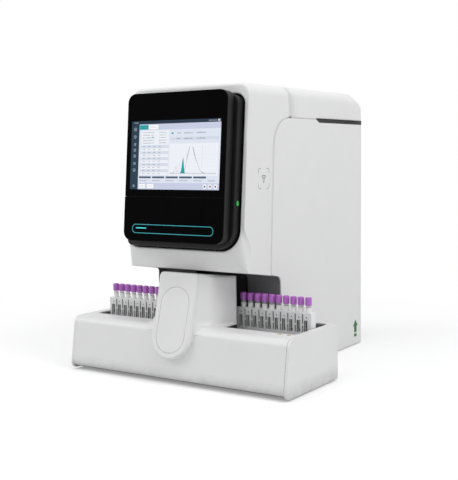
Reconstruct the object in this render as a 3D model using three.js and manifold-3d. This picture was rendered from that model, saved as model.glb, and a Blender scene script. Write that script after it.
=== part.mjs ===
// Glycated haemoglobin analyser with two rack bays and a leaning touch screen
// Millimetres. X runs to the right seen from the front, Y to the rear and Z up
import * as THREE from 'three';
import { mergeVertices, toCreasedNormals } from 'three/addons/utils/BufferGeometryUtils.js';
import { ConvexGeometry } from 'three/addons/geometries/ConvexGeometry.js';
import Module from 'manifold-3d';

const wasm = await Module();
wasm.setup();

// Sampler tray
const TRAY_WIDTH = 634;
const TRAY_DEPTH = 248;
const TRAY_HEIGHT = 131.2;
const TRAY_LEAN = 19.4;
const TRAY_BROW_RADIUS = 19;
const TRAY_TOE_RADIUS = 14;
const TRAY_HEEL_RADIUS = 3;
const TRAY_SKIRT_LIFT = 5.5;
const TRAY_TOE_RETURN = 24;
const TRAY_WALL = 3;
const TRAY_LIP = 82;
const TRAY_SIDE_RIM = 21;
const TRAY_REAR_RIM = 8;
const TRAY_MOUTH_RADIUS = 12;
const END_CAP_THICKNESS = 7;
const END_CAP_WALL = 3;
const END_CAP_BEAD = 5;

// Bridge between the two rack openings
const BRIDGE_FRONT_HALF_WIDTH = 56;
const BRIDGE_FRONT_FOOT_DEPTH = 16;
const BRIDGE_FRONT_PEAK_DEPTH = 50;
const BRIDGE_SHOULDER_HALF_WIDTH = 84;
const BRIDGE_CROWN_HALF_WIDTH = 76;
const BRIDGE_END_HALF_WIDTH = 100;
const BRIDGE_SHOULDER_FOOT_DEPTH = 45;
const BRIDGE_SHOULDER_CROWN_DEPTH = 69;
const BRIDGE_RIGHT_END_DEPTH = 139;
const BRIDGE_LEFT_END_DEPTH = 126;
const BRIDGE_CROWN_HEIGHT = 246;
const BRIDGE_PEAK_HEIGHT = 257;
const BRIDGE_WALL = 3;
const FLARE_RADIUS = 18;
const FLARE_STEPS = 3;
const FLARE_FRONT_DROP = 13;
const FLARE_FRONT_SHARE = 0.3;
const FLARE_SHOULDER_SIDE_SHARE = 0.926;
const FLARE_SHOULDER_FRONT_SHARE = 0.52;
const FLARE_LIP_SHARE = 0.72;

// Leaning tongue in front of the bridge
const TONGUE_HALF_WIDTH = 56;
const TONGUE_SLOPE_SHARE = 0.285;
const TONGUE_ANCHOR_DEPTH = 4.7;
const TONGUE_ANCHOR_HEIGHT = 115.2;
const TONGUE_TOP_HEIGHT = 260;
const TONGUE_APEX_HEIGHT = 60;
const TONGUE_TOP_RADIUS = 9;
const TONGUE_EDGE_RADIUS = 5;
const TONGUE_REACH = 62;
const INSET_HALF_WIDTH = 40.5;
const INSET_TOP_HEIGHT = 225;
const INSET_APEX_HEIGHT = 73.7;
const INSET_THICKNESS = 2;
const INSET_GROOVE = 0.7;

// Main housing
const BODY_WIDTH = 348.4;
const ROOF_RISE = 77.8;
const BODY_BOTTOM = -1.5;
const BODY_REAR = 679.5;
const BODY_WALL = 3;
const ROOF_EDGE_RADIUS = 28;
const ROOF_REAR_RADIUS = 35;
const REAR_CORNER_RADIUS = 7;
const RIM_TOP_DEPTH = 93.7;
const RIM_TOP_RADIUS = 10;
const RIM_FOOT_DEPTH = 59.2;
const RIM_FOOT_HEIGHT = 313.5;
const RIM_FOOT_RADIUS = 30;
const CHIN_DEPTH = 71.8;
const CHIN_HEIGHT = 263.7;
const CHIN_RADIUS = 6;
const RECESS_DEPTH = 225.7;
const RECESS_HEIGHT = 238.3;
const RECESS_RADIUS = 18;

// Seams of the housing
const SEAM = 0.6;
const FIT_GAP = 0.3;
const DOOR_FRONT_FOOT_DEPTH = 165;
const DOOR_FRONT_TOP_DEPTH = 203.4;
const DOOR_TOP_HEIGHT = 625;
const DOOR_CORNER_RADIUS = 70;
const DOOR_REAR_EDGE = 671.5;
const DOOR_FLANGE_DEPTH = 16;
const DOOR_FLANGE_INSET = 2;
const COVER_SEAM_LOW_DEPTH = 282;
const COVER_SEAM_HIGH_DEPTH = 274;
const SLOT_FRONT_HIGH_DEPTH = 409.5;
const SLOT_FRONT_LOW_DEPTH = 426.4;
const SLOT_RISE = 3.2;
const SLOT_DROP = 8;
const SLOT_REACH = 24;

// Display on the leaning front
const FRAME_SIDE_MARGIN = 17.2;
const FRAME_LOW = 4;
const FRAME_TOP_MARGIN = 29.83;
const FRAME_THICKNESS = 18;
const FRAME_SINK = 9;
const FRAME_TOP_RADIUS = 20;
const FRAME_LEFT_RADIUS = 14;
const FRAME_RIGHT_RADIUS = 48;
const FRAME_WALL = 4;
const RIM_GROOVE = 4;
const HEAD_SIDE_MARGIN = 12;
const HEAD_LOW = 16.5;
const HEAD_OVERTOP = 9;
const HEAD_THICKNESS = 25;
const HEAD_RADIUS = 22;
const HEAD_WALL = 4;
const GLASS_THICKNESS = 3;
const GLASS_SPLIT_SHARE = 0.31344;
const SCREEN_SIDE_MARGIN = 14.5;
const SCREEN_LOW_SHARE = 0.35821;
const SCREEN_TOP_MARGIN = 66.5;
const SCREEN_DEPTH = 9;
const GUIDE_SIDE_MARGIN = 26;
const GUIDE_HEIGHT = 22;
const GUIDE_LINE = 1.6;
const GUIDE_LEVEL = 45.5;
const GUIDE_DEPTH = 1.4;
const BUTTON_LEVEL = 112;
const BUTTON_LENGTH = 11;
const BUTTON_WIDTH = 6;
const BUTTON_PROUD = 1.8;
const BUTTON_STEM = 5;
const BUTTON_WELL = 8;

// Sample racks and tubes
const TUBE_COUNT = 10;
const TUBE_PITCH = 20;
const TUBE_RADIUS = 6.5;
const TUBE_LENGTH = 75;
const CAP_RADIUS = 7.75;
const CAP_HEIGHT = 18.5;
const CAP_TOP_HEIGHT = 202.8;
const CAP_OVERHANG = 5;
const RACK_OVERHANG = 12.9;
const RACK_WIDTH = 22;
const RACK_HEIGHT = 72;
const RACK_TOP_HEIGHT = 167;
const RACK_BORE_GAP = 0.4;
const RACK_WINDOW_WIDTH = 6.5;
const RACK_WINDOW_LOW = 120.5;
const RACK_WINDOW_HIGH = 149.5;
const RACK_SLOT_WIDTH = 3.4;
const RACK_SLOT_DEPTH = 2.2;
const RACK_SLOT_SPLIT = 137;
const RACK_SLOT_BRIDGE = 4;
const RACK_SLOT_TOP_MARGIN = 3;
const RACK_FOOT_RAIL = 14;
const RACK_START_WIDTH = 86.3;
const RIGHT_RACK_DEPTH = 173;
const LEFT_RACK_DEPTH = 139;
const LANE_DEPTH = 212.5;

// Rack deck and feed
const DECK_THICKNESS = 3;
const DECK_SLOT_WIDTH = 8;
const DECK_SLOT_MARGIN = 22;
const PUSHER_WIDTH = 5;
const PUSHER_HEIGHT = 20;
const PUSHER_LENGTH = 6;
const PUSHER_SHOE_WIDTH = 30;
const PUSHER_SHOE_LENGTH = 26;
const PUSHER_SHOE_HEIGHT = 7;
const PAWL_WIDTH = 24;
const PAWL_LENGTH = 18;
const PAWL_HEIGHT = 9;

// Base and inner frame
const PLATE = 4;
const PLATE_LIFT = 1;
const PLATE_MARGIN = 2;
const FOOT_RADIUS = 14;
const FOOT_HEIGHT = 5;
const FOOT_INSET = 34;
const FOOT_TAPER = 2;
const BULKHEAD_DEPTH = 262;
const BULKHEAD_THICKNESS = 3;
const FRAME_TOP_DROP = 42.8;
const FRAME_SIDE_GAP = 1;
const FRAME_REAR_MARGIN = 9;
const SPINE_OFFSET = -6;
const SHELF_HEIGHT = 300;
const HEAD_ARM_INSET = 30;
const HEAD_ARM_LOW = 330;
const HEAD_ARM_FRONT = 108;
const POST_SIZE = 14;
const RAIL_HEIGHT = 352;
const RAIL_SIZE = 8;
const RAIL_HALF_LENGTH = 128;

// Sampling probe
const CARRIAGE_WIDTH = 36;
const CARRIAGE_HEIGHT = 44;
const CARRIAGE_THICKNESS = 10;
const CARRIAGE_ARM = 24;
const PROBE_RADIUS = 1.8;
const PROBE_TIP_HEIGHT = 243;
const PROBE_TIP_LENGTH = 6;
const PROBE_TOP_HEIGHT = 470;
const PROBE_BLOCK_HEIGHT = 14;
const PROBE_BLOCK_RADIUS = 6;
const WINDOW_HALF_WIDTH = 78;
const WINDOW_FRONT = 158;

// Fluidics and power inside
const BOTTLE_RADIUS = 42;
const BOTTLE_HEIGHT = 176;
const BOTTLE_SHOULDER = 26;
const BOTTLE_NECK_RADIUS = 17;
const BOTTLE_NECK_HEIGHT = 16;
const BOTTLE_CAP_RADIUS = 21;
const BOTTLE_CAP_HEIGHT = 20;
const BOTTLE_PITCH = 98;
const BOTTLE_FIRST_DEPTH = 330;
const BOTTLE_SIDE_GAP = 16.2;
const PUMP_WIDTH = 90;
const PUMP_LENGTH = 130;
const PUMP_HEIGHT = 92;
const PUMP_SIDE_GAP = 21.2;
const PUMP_FRONT = 290;
const PUMP_HEAD_RADIUS = 24;
const PUMP_HEAD_LENGTH = 28;
const OVEN_WIDTH = 84;
const OVEN_LENGTH = 150;
const OVEN_HEIGHT = 118;
const OVEN_SIDE_GAP = 24.2;
const OVEN_FRONT = 458;
const OVEN_EDGE = 8;
const OVEN_PIPE_RADIUS = 3;
const OVEN_PIPE_LENGTH = 14;
const SUPPLY_WIDTH = 100;
const SUPPLY_LENGTH = 200;
const SUPPLY_HEIGHT = 62;
const SUPPLY_SIDE_GAP = 16.2;
const SUPPLY_FRONT = 420;
const FAN_DROP = 155;
const FAN_SIDE_GAP = 13.1;
const FAN_HUB_RADIUS = 19;
const FAN_LENGTH = 18;
const FAN_TIP_GAP = 3;
const FAN_RING_WALL = 4;
const FAN_STANDOFF = 7;
const FAN_BLADE_COUNT = 7;
const FAN_BLADE_THICKNESS = 2.2;
const FAN_STRUT_WIDTH = 5;
const FAN_GUARD_COUNT = 4;
const FAN_GUARD_WIDTH = 2.4;
const VENT_WIDTH = 90;
const VENT_HEIGHT = 5;
const VENT_PITCH = 13;
const VENT_COUNT = 6;
const VENT_SIDE_GAP = 70.2;
const VENT_DROP = 195;
const INLET_SIDE_GAP = 42.2;
const INLET_LEVEL = 66;
const INLET_WIDTH = 27;
const INLET_HEIGHT = 20;
const INLET_DEPTH = 24;
const INLET_FLANGE = 3;
const INLET_CAVITY = 15;
const INLET_WALL = 3;
const INLET_PIN_WIDTH = 2;
const INLET_PIN_HEIGHT = 4;
const INLET_PIN_PITCH = 7;
const SWITCH_OFFSET = 46;
const SWITCH_WIDTH = 13;
const SWITCH_HEIGHT = 24;
const SWITCH_DEPTH = 10;
const SWITCH_CROWN = 3.2;
const SWITCH_GAP = 1;

// Faceting and boolean helpers
const ARC_STEPS = 6;
const CREASE_DEGREES = 35;
const WELD = 0.0001;
const OVERRUN = 40;

// Looks of the finishes
const WHITE = [0xe6e6e4, 0.42, 0];
const WARM_WHITE = [0xdededc, 0.45, 0];
const DARK = [0x3c3c3c, 0.55, 0];
const BLACK = [0x1c1c1c, 0.35, 0];
const GLASS = [0x050506, 0.08, 0];
const TEAL = [0x2a8f96, 0.4, 0];
const GREEN = [0x2aa04a, 0.4, 0];
const PURPLE = [0x9a4aa8, 0.5, 0];
const RACK_GREY = [0xc4c6c6, 0.4, 0];
const STEEL = [0xb8bcc0, 0.3, 0.9];
const FRAME_STEEL = [0x2b2d30, 0.5, 0.4];
const RUBBER = [0x1a1a1a, 0.85, 0];
const BOTTLE = [0xe9e4d2, 0.35, 0];

// Derived places
const TRAY_HALF = TRAY_WIDTH / 2;
const BODY_HALF = BODY_WIDTH / 2;
const SHELL_END = TRAY_HALF - END_CAP_THICKNESS;
const RACK_LENGTH = (TUBE_COUNT - 1) * TUBE_PITCH + 2 * RACK_OVERHANG;
const RACK_CENTRE = RACK_START_WIDTH + RACK_LENGTH / 2;
const RACK_BOTTOM = RACK_TOP_HEIGHT - RACK_HEIGHT;
const DECK_TOP = RACK_BOTTOM - FIT_GAP;
const DECK_BOTTOM = DECK_TOP - DECK_THICKNESS;
const TUBE_BOTTOM = CAP_TOP_HEIGHT - CAP_OVERHANG - TUBE_LENGTH;
const TONGUE_TILT = Math.atan(TONGUE_SLOPE_SHARE);
const BODY_TOP = DOOR_TOP_HEIGHT + ROOF_RISE;
const SLOT_HIGH = DOOR_TOP_HEIGHT + SLOT_RISE;
const SLOT_LOW = DOOR_TOP_HEIGHT - SLOT_DROP;
const RIM_TILT = Math.atan((RIM_TOP_DEPTH - RIM_FOOT_DEPTH) / (BODY_TOP - RIM_FOOT_HEIGHT));
const FLOOR_TOP = PLATE_LIFT + PLATE;
const SIDE_INNER = BODY_HALF - BODY_WALL;
const REAR_INNER = BODY_REAR - BODY_WALL;
const STEP_DEPTH = TRAY_DEPTH + SEAM;
const STEP_HEIGHT = TRAY_HEIGHT + SEAM;
const BULKHEAD_REAR = BULKHEAD_DEPTH + BULKHEAD_THICKNESS;
const FRAME_REAR = REAR_INNER - FRAME_REAR_MARGIN;
const FRAME_SIDE = SIDE_INNER - DOOR_FLANGE_DEPTH - FRAME_SIDE_GAP;
const FRAME_TOP_HEIGHT = BODY_TOP - FRAME_TOP_DROP;
const FRAME_HALF_WIDTH = BODY_HALF - FRAME_SIDE_MARGIN;
const RIM_LENGTH = (BODY_TOP - RIM_FOOT_HEIGHT) / Math.cos(RIM_TILT);
const FRAME_HIGH = RIM_LENGTH - FRAME_TOP_MARGIN;
const HEAD_HALF_WIDTH = FRAME_HALF_WIDTH - HEAD_SIDE_MARGIN;
const HEAD_HIGH = FRAME_HIGH + HEAD_OVERTOP;
const SCREEN_HALF_WIDTH = HEAD_HALF_WIDTH - SCREEN_SIDE_MARGIN;
const SCREEN_HIGH = HEAD_HIGH - SCREEN_TOP_MARGIN;
const SCREEN_LOW = RIM_LENGTH * SCREEN_LOW_SHARE;
const GLASS_SPLIT = RIM_LENGTH * GLASS_SPLIT_SHARE;
const GUIDE_HALF_WIDTH = HEAD_HALF_WIDTH - GUIDE_SIDE_MARGIN;
const FAN_ROOM = (FRAME_SIDE - POST_SIZE + SPINE_OFFSET) / 2;
const FAN_RADIUS = FAN_ROOM - FAN_SIDE_GAP;
const FAN_SIDE = SPINE_OFFSET - FAN_ROOM;
const FAN_LEVEL = DOOR_TOP_HEIGHT - FAN_DROP;
const VENT_LEVEL = DOOR_TOP_HEIGHT - VENT_DROP;
const VENT_SIDE = FRAME_SIDE - VENT_SIDE_GAP;
const INLET_SIDE = INLET_SIDE_GAP - FRAME_SIDE;
const SWITCH_SIDE = INLET_SIDE + SWITCH_OFFSET;
const BOTTLE_SIDE = FRAME_SIDE - BOTTLE_SIDE_GAP - BOTTLE_RADIUS;
const PUMP_SIDE = FRAME_SIDE - PUMP_SIDE_GAP - PUMP_WIDTH / 2;
const OVEN_SIDE = FRAME_SIDE - OVEN_SIDE_GAP - OVEN_WIDTH / 2;
const SUPPLY_SIDE = SUPPLY_SIDE_GAP + SUPPLY_WIDTH / 2 - FRAME_SIDE;

// Closed solid from a three.js geometry
function solid(geometry) {
  const bare = geometry.index ? geometry.toNonIndexed() : geometry.clone();
  bare.deleteAttribute('normal');
  bare.deleteAttribute('uv');
  const merged = mergeVertices(bare, WELD);
  const vertProperties = new Float32Array(merged.attributes.position.array);
  const triVerts = new Uint32Array(merged.index.array);
  return new wasm.Manifold(new wasm.Mesh({ numProp: 3, vertProperties, triVerts }));
}

// Joins a list of solids
function join(parts) {
  return parts.reduce((sum, part) => sum.add(part));
}

// Outline with its corners rounded. A corner is [a, b] or [a, b, radius]
function outline(corners, steps = ARC_STEPS) {
  const points = [];
  corners.forEach(([a, b, radius = 0], index) => {
    const here = new THREE.Vector2(a, b);
    if (radius <= 0) {
      points.push(here);
      return;
    }
    const last = corners[(index + corners.length - 1) % corners.length];
    const next = corners[(index + 1) % corners.length];
    const back = new THREE.Vector2(last[0], last[1]).sub(here).normalize();
    const ahead = new THREE.Vector2(next[0], next[1]).sub(here).normalize();
    const half = Math.acos(THREE.MathUtils.clamp(back.dot(ahead), -1, 1)) / 2;
    const middle = back.clone().add(ahead).normalize().multiplyScalar(radius / Math.sin(half));
    const centre = here.clone().add(middle);
    const start = here.clone().addScaledVector(back, radius / Math.tan(half)).sub(centre);
    const turn = (Math.PI - 2 * half) * Math.sign(back.cross(ahead)) * -1;
    for (let step = 0; step <= steps; step += 1) {
      const angle = turn * step / steps;
      points.push(start.clone().rotateAround(new THREE.Vector2(), angle).add(centre));
    }
  });
  return points.filter((point, index) => {
    const last = points[(index + points.length - 1) % points.length];
    return point.distanceTo(last) > WELD;
  });
}

// Moves every edge of an anticlockwise outline outwards, corners and radii with it
function grown(corners, distance) {
  const count = corners.length;
  return corners.map(([a, b, radius = 0], index) => {
    const last = corners[(index + count - 1) % count];
    const next = corners[(index + 1) % count];
    const inward = new THREE.Vector2(a - last[0], b - last[1]).normalize();
    const outward = new THREE.Vector2(next[0] - a, next[1] - b).normalize();
    const cross = inward.cross(outward);
    const reach = distance * Math.tan(Math.asin(THREE.MathUtils.clamp(cross, -1, 1)) / 2);
    const place = new THREE.Vector2(a, b);
    place.add(new THREE.Vector2(inward.y, -inward.x).multiplyScalar(distance));
    place.addScaledVector(inward, reach);
    const round = radius > 0 ? Math.max(radius + Math.sign(cross) * distance, 0) : 0;
    return [place.x, place.y, round];
  });
}

// Prisms of an outline given as (Y, Z), (X, Z) or (X, Y)
const Y_Z_TO_X = new THREE.Matrix4().makeBasis(
  new THREE.Vector3(0, 1, 0), new THREE.Vector3(0, 0, 1), new THREE.Vector3(1, 0, 0));
const X_Z_TO_Y = new THREE.Matrix4().makeBasis(
  new THREE.Vector3(1, 0, 0), new THREE.Vector3(0, 0, 1), new THREE.Vector3(0, -1, 0));

function extruded(points, depth) {
  return new THREE.ExtrudeGeometry(new THREE.Shape(points), { depth, bevelEnabled: false });
}

function alongX(corners, from, to) {
  const geometry = extruded(outline(corners), to - from).applyMatrix4(Y_Z_TO_X);
  return solid(geometry.translate(from, 0, 0));
}

function alongY(corners, from, to) {
  const geometry = extruded(outline(corners), to - from).applyMatrix4(X_Z_TO_Y);
  return solid(geometry.translate(0, to, 0));
}

function alongZ(corners, from, to) {
  return solid(extruded(outline(corners), to - from).translate(0, 0, from));
}

function block([x0, x1], [y0, y1], [z0, z1]) {
  const geometry = new THREE.BoxGeometry(x1 - x0, y1 - y0, z1 - z0);
  return solid(geometry.translate((x0 + x1) / 2, (y0 + y1) / 2, (z0 + z1) / 2));
}

function rectangle(a0, a1, b0, b1, radius = 0) {
  return [[a0, b0, radius], [a1, b0, radius], [a1, b1, radius], [a0, b1, radius]];
}

// Upright and level discs with a fixed number of sides
function disc(radius, from, to, place, sides, along = 'z') {
  const geometry = new THREE.CylinderGeometry(radius, radius, to - from, sides);
  geometry.translate(0, (from + to) / 2, 0);
  if (along === 'z') {
    geometry.rotateX(Math.PI / 2);
  }
  if (along === 'x') {
    geometry.rotateZ(-Math.PI / 2);
  }
  return solid(geometry.translate(place[0], place[1], place[2]));
}

// Revolved profile about an upright axis, as [radius, height] points
function turned(profile, sides) {
  const points = profile.map(([radius, height]) => new THREE.Vector2(radius, height));
  return new THREE.LatheGeometry(points, sides).rotateX(Math.PI / 2);
}

function hull(points) {
  return solid(new ConvexGeometry(points.map(([x, y, z]) => new THREE.Vector3(x, y, z))));
}

// Scene graph
const group = new THREE.Group();
const machine = new THREE.Group();
group.add(machine);

function place(name, body, [color, roughness, metalness], parent = machine) {
  const made = body.getMesh();
  const geometry = new THREE.BufferGeometry();
  geometry.setAttribute('position', new THREE.BufferAttribute(made.vertProperties, 3));
  geometry.setIndex(new THREE.BufferAttribute(made.triVerts, 1));
  const creased = toCreasedNormals(geometry, THREE.MathUtils.degToRad(CREASE_DEGREES));
  const material = new THREE.MeshStandardMaterial({ color, roughness, metalness });
  const mesh = new THREE.Mesh(creased, material);
  mesh.name = name;
  parent.add(mesh);
  return mesh;
}

// Tray: a leaning front with a round brow and toe, drawn as a section along X
function traySection(lift) {
  const toe = TRAY_LEAN * lift / TRAY_HEIGHT;
  return [
    [toe, lift, TRAY_TOE_RADIUS],
    [TRAY_DEPTH, lift, TRAY_HEEL_RADIUS],
    [TRAY_DEPTH, TRAY_HEIGHT, TRAY_HEEL_RADIUS],
    [TRAY_LEAN, TRAY_HEIGHT, TRAY_BROW_RADIUS],
  ];
}

const shellSection = traySection(TRAY_SKIRT_LIFT);
const shellInner = grown(shellSection, -TRAY_WALL);
const shellHollow = [
  shellInner[0],
  [TRAY_TOE_RETURN, TRAY_SKIRT_LIFT + TRAY_WALL],
  [TRAY_TOE_RETURN, TRAY_SKIRT_LIFT - OVERRUN],
  [TRAY_DEPTH - TRAY_WALL, TRAY_SKIRT_LIFT - OVERRUN],
  shellInner[2],
  shellInner[3],
];
const mouthHalf = TRAY_HALF - TRAY_SIDE_RIM;
const mouthRear = TRAY_DEPTH - TRAY_REAR_RIM;
const mouth = rectangle(-mouthHalf, mouthHalf, TRAY_LIP, mouthRear, TRAY_MOUTH_RADIUS);
const traySkin = alongX(shellSection, -SHELL_END, SHELL_END)
  .subtract(alongX(shellHollow, -TRAY_HALF, TRAY_HALF))
  .subtract(alongZ(mouth, TRAY_HEIGHT - 2 * TRAY_WALL, TRAY_HEIGHT + OVERRUN));

// Bridge: the hull of a foot ring and a crown ring, hollow from below
const bridgeFoot = DECK_TOP + FIT_GAP;

function bridgeFrontDepth(level) {
  return THREE.MathUtils.mapLinear(level, bridgeFoot, BRIDGE_PEAK_HEIGHT,
    BRIDGE_FRONT_FOOT_DEPTH, BRIDGE_FRONT_PEAK_DEPTH);
}

function bridgeHull(inset, foot) {
  const peak = BRIDGE_PEAK_HEIGHT - inset;
  const crown = BRIDGE_CROWN_HEIGHT - inset;
  const points = [];
  for (const [side, end] of [[1, BRIDGE_RIGHT_END_DEPTH], [-1, BRIDGE_LEFT_END_DEPTH]]) {
    const front0 = side * (BRIDGE_FRONT_HALF_WIDTH - inset);
    const shoulder = side * (BRIDGE_SHOULDER_HALF_WIDTH - inset);
    const crownShoulder = side * (BRIDGE_CROWN_HALF_WIDTH - inset);
    const tail = side * (BRIDGE_END_HALF_WIDTH - inset);
    points.push([front0, bridgeFrontDepth(foot) + inset, foot]);
    points.push([shoulder, BRIDGE_SHOULDER_FOOT_DEPTH + inset, foot]);
    points.push([tail, end - inset, foot]);
    points.push([front0, BRIDGE_FRONT_PEAK_DEPTH + inset, peak]);
    points.push([crownShoulder, BRIDGE_SHOULDER_CROWN_DEPTH + inset, crown]);
    points.push([tail, end - inset, crown]);
  }
  return hull(points);
}

const bridge = bridgeHull(0, bridgeFoot).subtract(bridgeHull(BRIDGE_WALL, bridgeFoot - OVERRUN));
const bridgeFrontFoot = TRAY_HEIGHT - TRAY_BROW_RADIUS;
const bridgeUpper = bridge.subtract(block([-TRAY_HALF, TRAY_HALF],
  [-OVERRUN, TRAY_LIP - TRAY_WALL], [-OVERRUN, bridgeFrontFoot]));
const trayWithHole = traySkin.subtract(bridgeHull(BRIDGE_WALL, bridgeFrontFoot));

// Flare: a concave round, in slices, where the bridge grows out of the tray top
function flareRing(step, sink = 0) {
  const angle = Math.PI / 2 * step / FLARE_STEPS;
  const spread = 1 - Math.sin(angle);
  const grow = FLARE_RADIUS * spread;
  const level = TRAY_HEIGHT + FLARE_RADIUS * (1 - Math.cos(angle)) - sink;
  const rise = (level - bridgeFoot) / (BRIDGE_CROWN_HEIGHT - bridgeFoot);
  const front = bridgeFrontDepth(level);
  const shoulderDepth = THREE.MathUtils.lerp(BRIDGE_SHOULDER_FOOT_DEPTH,
    BRIDGE_SHOULDER_CROWN_DEPTH, rise);
  const shoulder = THREE.MathUtils.lerp(BRIDGE_SHOULDER_HALF_WIDTH, BRIDGE_CROWN_HALF_WIDTH, rise);
  const points = [];
  for (const [side, end] of [[1, BRIDGE_RIGHT_END_DEPTH], [-1, BRIDGE_LEFT_END_DEPTH]]) {
    const lip = THREE.MathUtils.mapLinear(TRAY_LIP, shoulderDepth, end,
      shoulder, BRIDGE_END_HALF_WIDTH);
    points.push([side * BRIDGE_FRONT_HALF_WIDTH, front - grow * FLARE_FRONT_SHARE,
      level - FLARE_FRONT_DROP * spread]);
    points.push([side * (shoulder + grow * FLARE_SHOULDER_SIDE_SHARE),
      shoulderDepth - grow * FLARE_SHOULDER_FRONT_SHARE, level]);
    points.push([side * (lip + grow * FLARE_LIP_SHARE), TRAY_LIP, level]);
    points.push([side * BRIDGE_END_HALF_WIDTH, end, level]);
  }
  return points;
}

const flareSlices = [hull([...flareRing(0, TRAY_WALL), ...flareRing(0)])];
for (let step = 0; step < FLARE_STEPS; step += 1) {
  flareSlices.push(hull([...flareRing(step), ...flareRing(step + 1)]));
}
const tongueRoom = BRIDGE_FRONT_HALF_WIDTH + FIT_GAP;
const flare = join(flareSlices).subtract(bridgeHull(BRIDGE_WALL, bridgeFrontFoot))
  .subtract(block([-tongueRoom, tongueRoom], [-OVERRUN, TRAY_LIP], [0, BRIDGE_PEAK_HEIGHT]))
  .subtract(bridgeHull(BRIDGE_WALL, bridgeFoot - OVERRUN));
place('tray_shell', trayWithHole.add(bridgeUpper).add(flare), WHITE);

// End caps close the tray and reach down past its skirt
function endCap(side) {
  const inner = side * (TRAY_HALF - END_CAP_THICKNESS + FIT_GAP);
  const outer = side * TRAY_HALF;
  const section = traySection(0);
  const plate = alongX(section, Math.min(inner, outer), Math.max(inner, outer));
  const pocketStart = side * (TRAY_HALF - END_CAP_WALL);
  const pocket = grown(section, -END_CAP_BEAD);
  const pocketEnd = side * (TRAY_HALF - END_CAP_THICKNESS - OVERRUN);
  return plate.subtract(alongX(pocket, Math.min(pocketStart, pocketEnd),
    Math.max(pocketStart, pocketEnd)));
}

place('tray_end_cap_left', endCap(-1), WHITE);
place('tray_end_cap_right', endCap(1), WHITE);

// Tongue: a stadium drawn in the leaning plane, rounded at its front edge
const TONGUE_MATRIX = new THREE.Matrix4()
  .makeTranslation(0, TONGUE_ANCHOR_DEPTH, TONGUE_ANCHOR_HEIGHT)
  .multiply(new THREE.Matrix4().makeRotationX(Math.PI / 2 - TONGUE_TILT));

function upPlane(height) {
  return (height - TONGUE_ANCHOR_HEIGHT) / Math.cos(TONGUE_TILT);
}

function stadium(half, low, high, topRadius) {
  return [[-half, low, half], [half, low, half], [half, high, topRadius], [-half, high, topRadius]];
}

function onTongue(corners, from, to, bevel = 0) {
  const geometry = new THREE.ExtrudeGeometry(new THREE.Shape(outline(corners, ARC_STEPS)), {
    depth: to - from - bevel,
    bevelEnabled: bevel > 0,
    bevelThickness: bevel,
    bevelSize: bevel,
    bevelOffset: -bevel,
    bevelSegments: 3,
  });
  return solid(geometry.translate(0, 0, from).applyMatrix4(TONGUE_MATRIX));
}

const tongueCorners = stadium(TONGUE_HALF_WIDTH, upPlane(TONGUE_APEX_HEIGHT),
  upPlane(TONGUE_TOP_HEIGHT), TONGUE_TOP_RADIUS);
const insetCorners = stadium(INSET_HALF_WIDTH, upPlane(INSET_APEX_HEIGHT),
  upPlane(INSET_TOP_HEIGHT), INSET_HALF_WIDTH);
const tongueBlank = onTongue(tongueCorners, -TONGUE_REACH, 0, TONGUE_EDGE_RADIUS);
const trayGrown = alongX(grown(traySection(0), FIT_GAP), -TRAY_HALF, TRAY_HALF);
const bridgeGrown = bridgeHull(-FIT_GAP, bridgeFrontFoot);
const insetPocket = onTongue(grown(insetCorners, INSET_GROOVE), -INSET_THICKNESS - FIT_GAP, OVERRUN);
place('tongue_cover', tongueBlank.subtract(trayGrown).subtract(bridgeGrown)
  .subtract(insetPocket), WHITE);
place('tongue_inset', onTongue(insetCorners, -INSET_THICKNESS, 0), WHITE);

// Housing: one outer form, hollowed, and parted along its seams
const bodySection = [
  [STEP_DEPTH, BODY_BOTTOM],
  [BODY_REAR, BODY_BOTTOM],
  [BODY_REAR, BODY_TOP, ROOF_REAR_RADIUS],
  [RIM_TOP_DEPTH, BODY_TOP, RIM_TOP_RADIUS],
  [RIM_FOOT_DEPTH, RIM_FOOT_HEIGHT, RIM_FOOT_RADIUS],
  [CHIN_DEPTH, CHIN_HEIGHT, CHIN_RADIUS],
  [RECESS_DEPTH, RECESS_HEIGHT, RECESS_RADIUS],
  [RECESS_DEPTH, STEP_HEIGHT],
  [STEP_DEPTH, STEP_HEIGHT],
];

function bodyForm(inset, floor) {
  const half = BODY_HALF - inset;
  const top = BODY_TOP - inset;
  const roofRadius = ROOF_EDGE_RADIUS - inset;
  const front = [[-half, floor], [half, floor], [half, top, roofRadius], [-half, top, roofRadius]];
  const rear = BODY_REAR - inset;
  const rearRadius = Math.max(REAR_CORNER_RADIUS - inset, 0);
  const plan = [[-half, -OVERRUN], [half, -OVERRUN], [half, rear, rearRadius], [-half, rear, rearRadius]];
  const section = grown(bodySection, -inset);
  section[0][1] = floor;
  section[1][1] = floor;
  return alongX(section, -half - OVERRUN, half + OVERRUN)
    .intersect(alongY(front, -OVERRUN, BODY_REAR + OVERRUN))
    .intersect(alongZ(plan, floor - OVERRUN, BODY_TOP + OVERRUN));
}

const housing = bodyForm(0, BODY_BOTTOM).subtract(bodyForm(BODY_WALL, BODY_BOTTOM - OVERRUN));

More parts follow.
